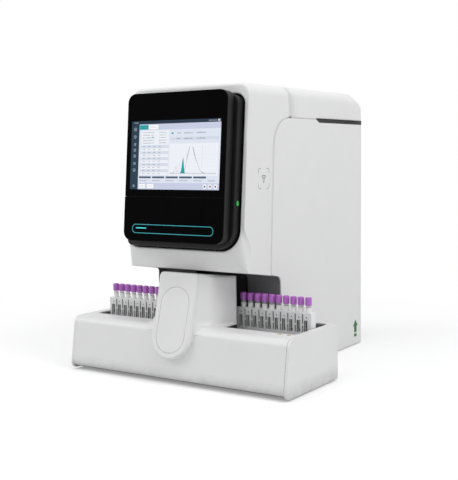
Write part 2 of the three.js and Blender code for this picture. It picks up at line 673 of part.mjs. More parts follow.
// Side panel: the outline of the door, used on both sides
const recessSide = RECESS_HEIGHT + (RECESS_DEPTH - DOOR_FRONT_FOOT_DEPTH)
  * (CHIN_HEIGHT - RECESS_HEIGHT) / (RECESS_DEPTH - CHIN_DEPTH);
const doorFoot = [DOOR_FRONT_FOOT_DEPTH
  + (DOOR_FRONT_TOP_DEPTH - DOOR_FRONT_FOOT_DEPTH) * recessSide / DOOR_TOP_HEIGHT, recessSide];
const panelCorners = [
  [STEP_DEPTH, BODY_BOTTOM],
  [DOOR_REAR_EDGE, BODY_BOTTOM],
  [DOOR_REAR_EDGE, DOOR_TOP_HEIGHT],
  [DOOR_FRONT_TOP_DEPTH, DOOR_TOP_HEIGHT, DOOR_CORNER_RADIUS],
  doorFoot,
  [RECESS_DEPTH, RECESS_HEIGHT, RECESS_RADIUS],
  [RECESS_DEPTH, STEP_HEIGHT],
  [STEP_DEPTH, STEP_HEIGHT],
];
const doorCorners = [
  [STEP_DEPTH, BODY_BOTTOM],
  [DOOR_REAR_EDGE, BODY_BOTTOM],
  [DOOR_REAR_EDGE, SLOT_LOW],
  [SLOT_FRONT_LOW_DEPTH, SLOT_LOW],
  [SLOT_FRONT_HIGH_DEPTH, DOOR_TOP_HEIGHT],
  [DOOR_FRONT_TOP_DEPTH, DOOR_TOP_HEIGHT, DOOR_CORNER_RADIUS],
  doorFoot,
  [RECESS_DEPTH, RECESS_HEIGHT, RECESS_RADIUS],
  [RECESS_DEPTH, STEP_HEIGHT],
  [STEP_DEPTH, STEP_HEIGHT],
];

function sidePanel(corners, side) {
  const flange = grown(corners, -DOOR_FLANGE_INSET);
  const hollow = grown(corners, -DOOR_FLANGE_INSET - BODY_WALL);
  const span = (a, b) => [Math.min(side * a, side * b), Math.max(side * a, side * b)];
  const [skin0, skin1] = span(SIDE_INNER, BODY_HALF);
  const [ring0, ring1] = span(SIDE_INNER - DOOR_FLANGE_DEPTH, SIDE_INNER + BODY_WALL / 2);
  const [cut0, cut1] = span(SIDE_INNER - DOOR_FLANGE_DEPTH - OVERRUN, SIDE_INNER);
  return alongX(corners, skin0, skin1)
    .add(alongX(flange, ring0, ring1).subtract(alongX(hollow, cut0, cut1)));
}

place('right_door', sidePanel(doorCorners, 1), WHITE);
place('left_panel', sidePanel(panelCorners, -1), WHITE);

// Front shell: everything ahead of the side seams and the roof seam
const seamAhead = (corners) => alongX(grown(corners, SEAM), -BODY_HALF - OVERRUN, BODY_HALF + OVERRUN);
const frontZone = alongX([
  [-OVERRUN, -OVERRUN],
  [DOOR_REAR_EDGE, -OVERRUN],
  [DOOR_REAR_EDGE, DOOR_TOP_HEIGHT + SEAM],
  [COVER_SEAM_LOW_DEPTH, DOOR_TOP_HEIGHT + SEAM],
  [COVER_SEAM_HIGH_DEPTH, BODY_TOP + OVERRUN],
  [-OVERRUN, BODY_TOP + OVERRUN],
], -BODY_HALF - OVERRUN, BODY_HALF + OVERRUN);
const linerFront = CHIN_DEPTH + 5 * BODY_WALL;
const belowHead = alongX([
  [linerFront, -OVERRUN],
  [BODY_REAR + OVERRUN, -OVERRUN],
  [BODY_REAR + OVERRUN, CHIN_HEIGHT + BODY_WALL],
  [linerFront, CHIN_HEIGHT + BODY_WALL],
], -SIDE_INNER - FIT_GAP, SIDE_INNER + FIT_GAP);

// Cutter and pieces in the plane of the leaning rim
const RIM_MATRIX = new THREE.Matrix4()
  .makeTranslation(0, RIM_FOOT_DEPTH, RIM_FOOT_HEIGHT)
  .multiply(new THREE.Matrix4().makeRotationX(Math.PI / 2 - RIM_TILT));
const rimGroup = new THREE.Group();
rimGroup.applyMatrix4(RIM_MATRIX);
machine.add(rimGroup);

const frameCorners = [
  [-FRAME_HALF_WIDTH, FRAME_LOW, FRAME_LEFT_RADIUS],
  [FRAME_HALF_WIDTH, FRAME_LOW, FRAME_RIGHT_RADIUS],
  [FRAME_HALF_WIDTH, FRAME_HIGH, FRAME_TOP_RADIUS],
  [-FRAME_HALF_WIDTH, FRAME_HIGH, FRAME_TOP_RADIUS],
];
const rimHole = solid(extruded(outline(grown(frameCorners, RIM_GROOVE)), FRAME_SINK + OVERRUN)
  .translate(0, 0, -FRAME_SINK).applyMatrix4(RIM_MATRIX));
const rimPocket = solid(extruded(outline(grown(frameCorners, RIM_GROOVE + BODY_WALL)),
  FRAME_SINK + BODY_WALL).translate(0, 0, -FRAME_SINK - BODY_WALL).applyMatrix4(RIM_MATRIX));
const cableHole = solid(extruded(outline(grown(frameCorners, -HEAD_WALL * 6)), OVERRUN)
  .translate(0, 0, -OVERRUN / 2 - FRAME_SINK).applyMatrix4(RIM_MATRIX));
const sideCut = BODY_HALF - BODY_WALL - SEAM;
const sideRegion = alongX(grown(panelCorners, SEAM), sideCut, BODY_HALF + OVERRUN)
  .add(alongX(grown(panelCorners, SEAM), -BODY_HALF - OVERRUN, -sideCut));
const behindSeam = alongX([
  [DOOR_FRONT_FOOT_DEPTH, -OVERRUN],
  [BODY_REAR + OVERRUN, -OVERRUN],
  [BODY_REAR + OVERRUN, DOOR_TOP_HEIGHT + SEAM],
  [COVER_SEAM_LOW_DEPTH + SEAM, DOOR_TOP_HEIGHT + SEAM],
  [COVER_SEAM_LOW_DEPTH + SEAM, STEP_HEIGHT],
  [DOOR_FRONT_FOOT_DEPTH, STEP_HEIGHT],
], -BODY_HALF - OVERRUN, BODY_HALF + OVERRUN);
const frontSkin = housing.intersect(frontZone).subtract(sideRegion).subtract(belowHead)
  .subtract(behindSeam);
const rimSeat = rimPocket.intersect(bodyForm(0, BODY_BOTTOM));
place('front_shell', frontSkin.add(rimSeat).subtract(rimHole).subtract(cableHole), WHITE);

// Recess liner: the dark underside and rear wall of the gap under the head
const linerZone = alongX([
  [linerFront + FIT_GAP, STEP_HEIGHT],
  [RECESS_DEPTH + BODY_WALL + SEAM, STEP_HEIGHT],
  [RECESS_DEPTH + BODY_WALL + SEAM, CHIN_HEIGHT],
  [linerFront + FIT_GAP, CHIN_HEIGHT],
], -SIDE_INNER, SIDE_INNER);
const linerWindow = block([-WINDOW_HALF_WIDTH, WINDOW_HALF_WIDTH],
  [WINDOW_FRONT, RECESS_DEPTH + OVERRUN], [STEP_HEIGHT - OVERRUN, BODY_TOP]);
const linerSkin = housing.intersect(linerZone).subtract(linerWindow)
  .subtract(sidePanelSpace(1)).subtract(sidePanelSpace(-1));

function sidePanelSpace(side) {
  const near = SIDE_INNER - DOOR_FLANGE_DEPTH - FIT_GAP;
  const far = BODY_HALF + OVERRUN;
  const ring = alongX(grown(panelCorners, -DOOR_FLANGE_INSET + FIT_GAP),
    Math.min(side * near, side * far), Math.max(side * near, side * far));
  const skin = SIDE_INNER - FIT_GAP;
  return ring.add(alongX(grown(panelCorners, SEAM),
    Math.min(side * skin, side * far), Math.max(side * skin, side * far)));
}

place('recess_liner', linerSkin, DARK);

// Top cover: the roof behind the seam, wrapping down the rear
const coverZone = alongX([
  [COVER_SEAM_LOW_DEPTH + SEAM, DOOR_TOP_HEIGHT + SEAM],
  [BODY_REAR + OVERRUN, DOOR_TOP_HEIGHT + SEAM],
  [BODY_REAR + OVERRUN, BODY_TOP + OVERRUN],
  [COVER_SEAM_HIGH_DEPTH + SEAM, BODY_TOP + OVERRUN],
], -BODY_HALF - OVERRUN, BODY_HALF + OVERRUN);
const fingerSlot = alongX([
  [SLOT_FRONT_LOW_DEPTH, SLOT_LOW],
  [BODY_REAR + OVERRUN, SLOT_LOW],
  [BODY_REAR + OVERRUN, SLOT_HIGH],
  [SLOT_FRONT_HIGH_DEPTH, SLOT_HIGH],
], BODY_HALF - SLOT_REACH, BODY_HALF + OVERRUN);
place('top_cover', housing.intersect(coverZone).subtract(fingerSlot), WHITE);

// Rear panel with a guarded fan opening, vents, and cut-outs for inlet and switch
const rearZone = block([-BODY_HALF - OVERRUN, BODY_HALF + OVERRUN],
  [DOOR_REAR_EDGE + 2 * SEAM, BODY_REAR + OVERRUN], [BODY_BOTTOM - OVERRUN, DOOR_TOP_HEIGHT]);
const fanCentre = [FAN_SIDE, 0, FAN_LEVEL];
const fanBore = FAN_RADIUS + FAN_TIP_GAP;
const fanFront = REAR_INNER - FAN_STANDOFF - FAN_LENGTH;
let rearPanel = housing.intersect(rearZone);
rearPanel = rearPanel.subtract(disc(fanBore, REAR_INNER - OVERRUN, BODY_REAR + OVERRUN,
  fanCentre, 32, 'y'));
const fanRing = disc(fanBore + FAN_RING_WALL, fanFront, REAR_INNER + BODY_WALL / 2, fanCentre, 32, 'y')
  .subtract(disc(fanBore, fanFront - OVERRUN, BODY_REAR, fanCentre, 32, 'y'));
rearPanel = rearPanel.add(fanRing);
const guard = [disc(FAN_HUB_RADIUS, REAR_INNER - FAN_STANDOFF + FIT_GAP, BODY_REAR, fanCentre,
  16, 'y')];
for (let strut = 0; strut < 4; strut += 1) {
  const bar = new THREE.BoxGeometry(2 * fanBore + FAN_RING_WALL, BODY_WALL, FAN_STRUT_WIDTH);
  bar.rotateY(Math.PI / 8 + strut * Math.PI / 4);
  guard.push(solid(bar.translate(FAN_SIDE, BODY_REAR - BODY_WALL / 2, FAN_LEVEL)));
}
for (let loop = 1; loop < FAN_GUARD_COUNT; loop += 1) {
  const radius = FAN_HUB_RADIUS + (fanBore - FAN_HUB_RADIUS) * loop / FAN_GUARD_COUNT;
  const outer = disc(radius + FAN_GUARD_WIDTH / 2, REAR_INNER, BODY_REAR, fanCentre, 24, 'y');
  guard.push(outer.subtract(disc(radius - FAN_GUARD_WIDTH / 2, REAR_INNER - OVERRUN,
    BODY_REAR + OVERRUN, fanCentre, 24, 'y')));
}
rearPanel = rearPanel.add(join(guard));
for (let vent = 0; vent < VENT_COUNT; vent += 1) {
  const level = VENT_LEVEL + vent * VENT_PITCH;
  rearPanel = rearPanel.subtract(alongY(rectangle(VENT_SIDE - VENT_WIDTH / 2,
    VENT_SIDE + VENT_WIDTH / 2, level, level + VENT_HEIGHT, VENT_HEIGHT / 2.2),
  REAR_INNER - OVERRUN, BODY_REAR + OVERRUN));
}
rearPanel = rearPanel.subtract(alongY(rectangle(INLET_SIDE - INLET_WIDTH / 2 - FIT_GAP,
  INLET_SIDE + INLET_WIDTH / 2 + FIT_GAP, INLET_LEVEL - INLET_HEIGHT / 2 - FIT_GAP,
  INLET_LEVEL + INLET_HEIGHT / 2 + FIT_GAP), REAR_INNER - OVERRUN, BODY_REAR + OVERRUN));
rearPanel = rearPanel.subtract(alongY(rectangle(SWITCH_SIDE - SWITCH_WIDTH / 2 - FIT_GAP,
  SWITCH_SIDE + SWITCH_WIDTH / 2 + FIT_GAP, INLET_LEVEL - SWITCH_HEIGHT / 2 - SWITCH_GAP,
  INLET_LEVEL + SWITCH_HEIGHT / 2 + SWITCH_GAP), REAR_INNER - OVERRUN, BODY_REAR + OVERRUN));
place('rear_panel', rearPanel, WARM_WHITE);

// Fan rotor: a hub with pitched blades on an axis along Y
const rotorFront = REAR_INNER - FAN_STANDOFF - FAN_LENGTH + BODY_WALL;
const rotorRear = REAR_INNER - FAN_STANDOFF;
const rotorParts = [disc(FAN_HUB_RADIUS, rotorFront, rotorRear, [0, 0, 0], 20, 'y')];
for (let blade = 0; blade < FAN_BLADE_COUNT; blade += 1) {
  const span = FAN_RADIUS - FAN_HUB_RADIUS + FAN_BLADE_THICKNESS;
  const vane = new THREE.BoxGeometry(span, FAN_BLADE_THICKNESS, FAN_LENGTH);
  vane.rotateX(Math.PI / 4);
  vane.translate(FAN_HUB_RADIUS + span / 2 - FAN_BLADE_THICKNESS, (rotorFront + rotorRear) / 2, 0);
  vane.rotateY(2 * Math.PI * blade / FAN_BLADE_COUNT);
  rotorParts.push(solid(vane));
}
const rotor = place('fan_rotor', join(rotorParts), BLACK);
rotor.position.set(FAN_SIDE, 0, FAN_LEVEL);

// Power inlet with three pins, and a rocker switch
const inletFlange = alongY(rectangle(INLET_SIDE - INLET_WIDTH / 2 - INLET_FLANGE,
  INLET_SIDE + INLET_WIDTH / 2 + INLET_FLANGE, INLET_LEVEL - INLET_HEIGHT / 2 - INLET_FLANGE,
  INLET_LEVEL + INLET_HEIGHT / 2 + INLET_FLANGE), REAR_INNER - FIT_GAP - BODY_WALL,
REAR_INNER - FIT_GAP);
const inletBody = alongY(rectangle(INLET_SIDE - INLET_WIDTH / 2, INLET_SIDE + INLET_WIDTH / 2,
  INLET_LEVEL - INLET_HEIGHT / 2, INLET_LEVEL + INLET_HEIGHT / 2), BODY_REAR - INLET_DEPTH, BODY_REAR);
const inletCavity = alongY(rectangle(INLET_SIDE - INLET_WIDTH / 2 + INLET_WALL,
  INLET_SIDE + INLET_WIDTH / 2 - INLET_WALL, INLET_LEVEL - INLET_HEIGHT / 2 + INLET_WALL,
  INLET_LEVEL + INLET_HEIGHT / 2 - INLET_WALL, INLET_WALL), BODY_REAR - INLET_CAVITY,
BODY_REAR + OVERRUN);
let inlet = inletFlange.add(inletBody).subtract(inletCavity);
for (const pin of [-1, 0, 1]) {
  const side = INLET_SIDE + pin * INLET_PIN_PITCH;
  inlet = inlet.add(block([side - INLET_PIN_WIDTH / 2, side + INLET_PIN_WIDTH / 2],
    [BODY_REAR - INLET_CAVITY - INLET_WALL / 2, BODY_REAR - INLET_WALL],
    [INLET_LEVEL - INLET_PIN_HEIGHT / 2, INLET_LEVEL + INLET_PIN_HEIGHT / 2]));
}
place('power_inlet', inlet, BLACK);

const rocker = alongX([
  [-SWITCH_DEPTH, -SWITCH_HEIGHT / 2],
  [0, -SWITCH_HEIGHT / 2],
  [-SWITCH_CROWN, 0],
  [0, SWITCH_HEIGHT / 2],
  [-SWITCH_DEPTH, SWITCH_HEIGHT / 2],
], -SWITCH_WIDTH / 2, SWITCH_WIDTH / 2);
const rockerMesh = place('power_switch', rocker, BLACK);
rockerMesh.position.set(SWITCH_SIDE, BODY_REAR - SEAM, INLET_LEVEL);

// Display frame, screen head, glass and lower cover in the leaning plane
function onRim(corners, from, to) {
  return solid(extruded(outline(corners), to - from).translate(0, 0, from));
}

const frameFront = FRAME_THICKNESS;
const buttonSlot = (gap) => rectangle(-BUTTON_WIDTH / 2 - gap, BUTTON_WIDTH / 2 + gap,
  -BUTTON_LENGTH / 2 - gap, BUTTON_LENGTH / 2 + gap, BUTTON_WIDTH / 2 - 2 * FIT_GAP);

function buttonPrism(gap, from, to) {
  const geometry = extruded(outline(buttonSlot(gap)), to - from);
  geometry.translate(0, 0, from).rotateY(Math.PI / 2);
  return solid(geometry.translate(0, BUTTON_LEVEL, FRAME_THICKNESS / 2));
}

let displayFrame = onRim(frameCorners, -FRAME_SINK + FIT_GAP, frameFront)
  .subtract(onRim(grown(frameCorners, -HEAD_WALL * 5), -FRAME_SINK - OVERRUN, frameFront - FRAME_WALL))
  .subtract(buttonPrism(2 * FIT_GAP, FRAME_HALF_WIDTH - BUTTON_WELL, FRAME_HALF_WIDTH + OVERRUN));
const headCorners = rectangle(-HEAD_HALF_WIDTH, HEAD_HALF_WIDTH, HEAD_LOW, HEAD_HIGH, HEAD_RADIUS);
const cableGap = rectangle(-SCREEN_HALF_WIDTH / 2, SCREEN_HALF_WIDTH / 2, SCREEN_LOW,
  SCREEN_LOW + HEAD_RADIUS);
displayFrame = displayFrame.subtract(onRim(cableGap, -OVERRUN, frameFront + OVERRUN));
place('display_frame', displayFrame, BLACK, rimGroup);

const headRear = frameFront + FIT_GAP;
const headFront = headRear + HEAD_THICKNESS;
const screenWell = rectangle(-SCREEN_HALF_WIDTH - SEAM, SCREEN_HALF_WIDTH + SEAM,
  SCREEN_LOW - SEAM, SCREEN_HIGH + SEAM);
const displayHead = onRim(headCorners, headRear, headFront)
  .subtract(onRim(screenWell, headFront - SCREEN_DEPTH - FIT_GAP, headFront + OVERRUN))
  .subtract(onRim(cableGap, headRear - OVERRUN, headFront));
place('display_head', displayHead, BLACK, rimGroup);
place('lcd_module', onRim(rectangle(-SCREEN_HALF_WIDTH, SCREEN_HALF_WIDTH, SCREEN_LOW, SCREEN_HIGH),
  headFront - SCREEN_DEPTH, headFront - FIT_GAP), BLACK, rimGroup);

const glassRear = headFront + FIT_GAP;
const glassFront = glassRear + GLASS_THICKNESS;
const glassCorners = [
  [-HEAD_HALF_WIDTH, GLASS_SPLIT + SEAM / 2],
  [HEAD_HALF_WIDTH, GLASS_SPLIT + SEAM / 2],
  [HEAD_HALF_WIDTH, HEAD_HIGH, HEAD_RADIUS],
  [-HEAD_HALF_WIDTH, HEAD_HIGH, HEAD_RADIUS],
];
place('display_glass', onRim(glassCorners, glassRear, glassFront), GLASS, rimGroup);

const lowerCorners = [
  [-HEAD_HALF_WIDTH, HEAD_LOW, HEAD_RADIUS],
  [HEAD_HALF_WIDTH, HEAD_LOW, HEAD_RADIUS],
  [HEAD_HALF_WIDTH, GLASS_SPLIT - SEAM / 2],
  [-HEAD_HALF_WIDTH, GLASS_SPLIT - SEAM / 2],
];
const guideCorners = rectangle(-GUIDE_HALF_WIDTH, GUIDE_HALF_WIDTH, GUIDE_LEVEL - GUIDE_HEIGHT / 2,
  GUIDE_LEVEL + GUIDE_HEIGHT / 2, GUIDE_HEIGHT / 2 - SEAM);
const guideInner = grown(guideCorners, -GUIDE_LINE);
const guideGroove = onRim(grown(guideCorners, FIT_GAP), glassFront - GUIDE_DEPTH - FIT_GAP,
  glassFront + OVERRUN).subtract(onRim(grown(guideInner, -FIT_GAP), glassRear - OVERRUN,
  glassFront + OVERRUN));
place('lower_cover', onRim(lowerCorners, glassRear, glassFront).subtract(guideGroove), GLASS, rimGroup);
place('light_guide', onRim(guideCorners, glassFront - GUIDE_DEPTH, glassFront)
  .subtract(onRim(guideInner, glassRear - OVERRUN, glassFront + OVERRUN)), TEAL, rimGroup);

// Standby button on the right edge of the display frame
place('standby_button', buttonPrism(0, FRAME_HALF_WIDTH - BUTTON_STEM,
  FRAME_HALF_WIDTH + BUTTON_PROUD), GREEN, rimGroup);

// Racks: bored blocks with a window and a slot for each tube
function rackBody() {
  const half = RACK_WIDTH / 2;
  const left = -RACK_LENGTH / 2;
  let rack = alongX([
    [-half, RACK_BOTTOM],
    [half, RACK_BOTTOM],
    [half, RACK_TOP_HEIGHT],
    [-half, RACK_TOP_HEIGHT],
  ], left, -left);
  const cuts = [];
  for (let index = 0; index < TUBE_COUNT; index += 1) {
    const centre = left + RACK_OVERHANG + index * TUBE_PITCH;
    cuts.push(disc(TUBE_RADIUS + RACK_BORE_GAP, TUBE_BOTTOM - RACK_BORE_GAP,
      RACK_TOP_HEIGHT + OVERRUN, [centre, 0, 0], 12));
    cuts.push(block([centre - RACK_WINDOW_WIDTH / 2, centre + RACK_WINDOW_WIDTH / 2],
      [-half - OVERRUN, 0], [RACK_WINDOW_LOW, RACK_WINDOW_HIGH]));
    if (index < TUBE_COUNT - 1) {
      const slot = centre + TUBE_PITCH / 2;
      const slotSpan = [slot - RACK_SLOT_WIDTH / 2, slot + RACK_SLOT_WIDTH / 2];
      cuts.push(block(slotSpan, [-half - OVERRUN, -half + RACK_SLOT_DEPTH],
        [RACK_WINDOW_LOW, RACK_SLOT_SPLIT]));
      cuts.push(block(slotSpan, [-half - OVERRUN, -half + RACK_SLOT_DEPTH],
        [RACK_SLOT_SPLIT + RACK_SLOT_BRIDGE, RACK_TOP_HEIGHT - RACK_SLOT_TOP_MARGIN]));
    }
  }
  const channel = block([left - OVERRUN, -left + OVERRUN], [-half / 2, half / 2],
    [RACK_BOTTOM - OVERRUN, RACK_BOTTOM + RACK_FOOT_RAIL]);
  return rack.subtract(join(cuts)).subtract(channel);
}

// Tubes: round-bottomed glass with a push cap, revolved as one form
const capFoot = CAP_TOP_HEIGHT - CAP_HEIGHT;
const capStep = CAP_RADIUS - TUBE_RADIUS;
const tubeProfile = [
  [0, TUBE_BOTTOM],
  [TUBE_RADIUS * Math.sin(Math.PI / 4), TUBE_BOTTOM + TUBE_RADIUS * (1 - Math.cos(Math.PI / 4))],
  [TUBE_RADIUS, TUBE_BOTTOM + TUBE_RADIUS],
  [TUBE_RADIUS, capFoot],
  [CAP_RADIUS, capFoot],
  [CAP_RADIUS, CAP_TOP_HEIGHT - capStep],
  [TUBE_RADIUS, CAP_TOP_HEIGHT],
  [0, CAP_TOP_HEIGHT],
];
const tubeSolid = solid(turned(tubeProfile, 12));
const rackSolid = rackBody();
const racks = [
  ['right_rack', 'tube_r', RACK_CENTRE, RIGHT_RACK_DEPTH],
  ['left_rack', 'tube_l', -RACK_CENTRE, LEFT_RACK_DEPTH],
];
for (const [rackName, tubeName, centre, depth] of racks) {
  const rackGroup = new THREE.Group();
  rackGroup.position.set(centre, depth, 0);
  machine.add(rackGroup);
  place(rackName, rackSolid, RACK_GREY, rackGroup);
  for (let index = 0; index < TUBE_COUNT; index += 1) {
    const tube = place(tubeName + (index + 1), tubeSolid, PURPLE, rackGroup);
    tube.position.set(index * TUBE_PITCH + RACK_OVERHANG - RACK_LENGTH / 2, 0, 0);
  }
}

// Deck under the racks, with walls round the bays and slots for the pushers
const deckInset = mouthHalf + TRAY_WALL + FIT_GAP;
const deckFront = TRAY_LIP - TRAY_WALL;
const deckRear = mouthRear + TRAY_WALL;
const wallTop = TRAY_HEIGHT - TRAY_WALL - FIT_GAP;
const deckWallFoot = deckInset - TRAY_WALL;
const bridgeBay = BRIDGE_END_HALF_WIDTH + TRAY_WALL;
let deck = block([-deckInset, deckInset], [deckFront, deckRear], [DECK_BOTTOM, wallTop])
  .subtract(block([-deckWallFoot, deckWallFoot], [deckFront + TRAY_WALL, deckRear - TRAY_WALL],
    [DECK_TOP, TRAY_HEIGHT]))
  .subtract(block([-bridgeBay, bridgeBay], [deckFront - OVERRUN, deckRear - 2 * TRAY_WALL],
    [DECK_TOP, TRAY_HEIGHT]));
const slotRear = LANE_DEPTH;
const pusherRight = [RACK_CENTRE, RIGHT_RACK_DEPTH - RACK_WIDTH / 2 - PUSHER_LENGTH / 2 - FIT_GAP];
const pusherLeft = [-RACK_CENTRE, LEFT_RACK_DEPTH + RACK_WIDTH / 2 + PUSHER_LENGTH / 2 + FIT_GAP];
for (const [side] of [pusherRight, pusherLeft]) {
  deck = deck.subtract(block([side - DECK_SLOT_WIDTH / 2, side + DECK_SLOT_WIDTH / 2],
    [deckFront + DECK_SLOT_MARGIN, deckRear - DECK_SLOT_MARGIN / 4], [DECK_BOTTOM - OVERRUN, DECK_TOP + OVERRUN]));
}
const laneHalf = WINDOW_HALF_WIDTH + PAWL_WIDTH / 2;
deck = deck.subtract(block([-laneHalf, laneHalf],
  [slotRear - DECK_SLOT_WIDTH / 2, slotRear + DECK_SLOT_WIDTH / 2],
  [DECK_BOTTOM - OVERRUN, DECK_TOP + OVERRUN]));
for (const side of [-1, 1]) {
  const outer = side * (deckInset - TRAY_WALL / 2);
  const inner = side * (deckInset - 2 * TRAY_WALL);
  deck = deck.add(block([Math.min(outer, inner), Math.max(outer, inner)],
    [deckFront + TRAY_WALL, deckRear - TRAY_WALL],
    [FLOOR_TOP + FIT_GAP, DECK_BOTTOM + DECK_THICKNESS / 2]));
}
place('rack_deck', deck, DARK);

// Pushers: a finger through the deck slot on a shoe under the deck
function pusher(name, [x, y]) {
  const shoeTop = DECK_BOTTOM - FIT_GAP;
  const shoe = block([-PUSHER_SHOE_WIDTH / 2, PUSHER_SHOE_WIDTH / 2],
    [-PUSHER_SHOE_LENGTH / 2, PUSHER_SHOE_LENGTH / 2], [shoeTop - PUSHER_SHOE_HEIGHT, shoeTop]);
  const finger = alongX([
    [-PUSHER_LENGTH / 2, shoeTop - PUSHER_SHOE_HEIGHT / 2],
    [PUSHER_LENGTH / 2, shoeTop - PUSHER_SHOE_HEIGHT / 2],
    [PUSHER_LENGTH / 2, DECK_TOP + PUSHER_HEIGHT, PUSHER_LENGTH / 3],
    [-PUSHER_LENGTH / 2, DECK_TOP + PUSHER_HEIGHT, PUSHER_LENGTH / 3],
  ], -PUSHER_WIDTH / 2, PUSHER_WIDTH / 2);
  place(name, shoe.add(finger), STEEL).position.set(x, y, 0);
}

pusher('right_pusher', pusherRight);
pusher('left_pusher', pusherLeft);

// Cross-feed pawl in the lane behind the bridge
const pawlTop = DECK_BOTTOM - FIT_GAP;
const pawlBlock = block([-PAWL_WIDTH / 2, PAWL_WIDTH / 2], [-PAWL_LENGTH / 2, PAWL_LENGTH / 2],
  [pawlTop - PAWL_HEIGHT, pawlTop]);
const pawlTooth = block([-PAWL_WIDTH / 4, PAWL_WIDTH / 4],
  [-PUSHER_WIDTH / 2, PUSHER_WIDTH / 2], [pawlTop - PAWL_HEIGHT / 2, DECK_TOP - FIT_GAP]);
place('cross_feed_pawl', pawlBlock.add(pawlTooth), STEEL).position.set(0, LANE_DEPTH, 0);

// Base plate, bulkhead, spine, shelf and posts as one welded chassis
const trayFloorHalf = SHELL_END - PLATE_MARGIN;
const chassisParts = [
  block([-trayFloorHalf, trayFloorHalf],
    [TRAY_TOE_RETURN + PLATE_MARGIN, TRAY_DEPTH - TRAY_WALL - PLATE_MARGIN], [PLATE_LIFT, FLOOR_TOP]),
  block([-FRAME_SIDE, FRAME_SIDE], [TRAY_DEPTH - TRAY_WALL - 2 * PLATE_MARGIN, FRAME_REAR],
    [PLATE_LIFT, FLOOR_TOP]),
  block([-FRAME_SIDE, FRAME_SIDE], [BULKHEAD_DEPTH, BULKHEAD_REAR], [PLATE_LIFT, FRAME_TOP_HEIGHT]),
  block([SPINE_OFFSET, SPINE_OFFSET + BULKHEAD_THICKNESS], [BULKHEAD_DEPTH, FRAME_REAR - PLATE],
    [PLATE_LIFT, FRAME_TOP_HEIGHT]),
  block([SPINE_OFFSET, FRAME_SIDE], [BULKHEAD_DEPTH, FRAME_REAR - PLATE],
    [SHELF_HEIGHT - BULKHEAD_THICKNESS, SHELF_HEIGHT]),
  block([-FRAME_SIDE, FRAME_SIDE], [BULKHEAD_DEPTH, FRAME_REAR - PLATE],
    [FRAME_TOP_HEIGHT - BULKHEAD_THICKNESS, FRAME_TOP_HEIGHT]),
];
for (const side of [-1, 1]) {
  const outer = side * FRAME_SIDE;
  const inner = side * (FRAME_SIDE - POST_SIZE);
  const span = [Math.min(outer, inner), Math.max(outer, inner)];
  chassisParts.push(block(span, [FRAME_REAR - POST_SIZE, FRAME_REAR], [PLATE_LIFT, FRAME_TOP_HEIGHT]));
  const arm = side * (BODY_HALF - HEAD_ARM_INSET);
  const armInner = arm - side * BULKHEAD_THICKNESS;
  chassisParts.push(block([Math.min(arm, armInner), Math.max(arm, armInner)],
    [HEAD_ARM_FRONT, BULKHEAD_REAR], [HEAD_ARM_LOW, FRAME_TOP_HEIGHT]));
}
chassisParts.push(block([HEAD_ARM_INSET - BODY_HALF, BODY_HALF - HEAD_ARM_INSET],
  [HEAD_ARM_FRONT, HEAD_ARM_FRONT + BULKHEAD_THICKNESS], [HEAD_ARM_LOW, FRAME_TOP_HEIGHT]));
chassisParts.push(block([-RAIL_HALF_LENGTH, RAIL_HALF_LENGTH],
  [BULKHEAD_DEPTH - RAIL_SIZE, BULKHEAD_DEPTH + BULKHEAD_THICKNESS / 2],
  [RAIL_HEIGHT, RAIL_HEIGHT + RAIL_SIZE]));
place('base_chassis', join(chassisParts), FRAME_STEEL);

// Sampling carriage on the rail, and the probe that drops through the window
const carriageRear = BULKHEAD_DEPTH - RAIL_SIZE - FIT_GAP;
const carriageFront = carriageRear - CARRIAGE_THICKNESS;
const carriageLow = RAIL_HEIGHT + RAIL_SIZE / 2 - CARRIAGE_HEIGHT / 2;
const carriageHigh = carriageLow + CARRIAGE_HEIGHT;
const carriageBlock = block([-CARRIAGE_WIDTH / 2, CARRIAGE_WIDTH / 2], [carriageFront, carriageRear],
  [carriageLow, carriageHigh]);
const carriageArm = block([-PROBE_BLOCK_RADIUS * 2, PROBE_BLOCK_RADIUS * 2],
  [LANE_DEPTH - PROBE_BLOCK_RADIUS * 2, carriageRear - CARRIAGE_THICKNESS / 2],
  [carriageLow, carriageLow + CARRIAGE_ARM]);
const probeBore = disc(PROBE_RADIUS + FIT_GAP, carriageLow - OVERRUN, carriageHigh + OVERRUN,
  [0, LANE_DEPTH, 0], 12);
place('probe_carriage', carriageBlock.add(carriageArm).subtract(probeBore), STEEL);

const probeProfile = [
  [0, PROBE_TIP_HEIGHT],
  [PROBE_RADIUS, PROBE_TIP_HEIGHT + PROBE_TIP_LENGTH],
  [PROBE_RADIUS, PROBE_TOP_HEIGHT],
  [PROBE_BLOCK_RADIUS, PROBE_TOP_HEIGHT],
  [PROBE_BLOCK_RADIUS, PROBE_TOP_HEIGHT + PROBE_BLOCK_HEIGHT],
  [0, PROBE_TOP_HEIGHT + PROBE_BLOCK_HEIGHT],
];
place('probe', solid(turned(probeProfile, 12)), STEEL).position.set(0, LANE_DEPTH, 0);

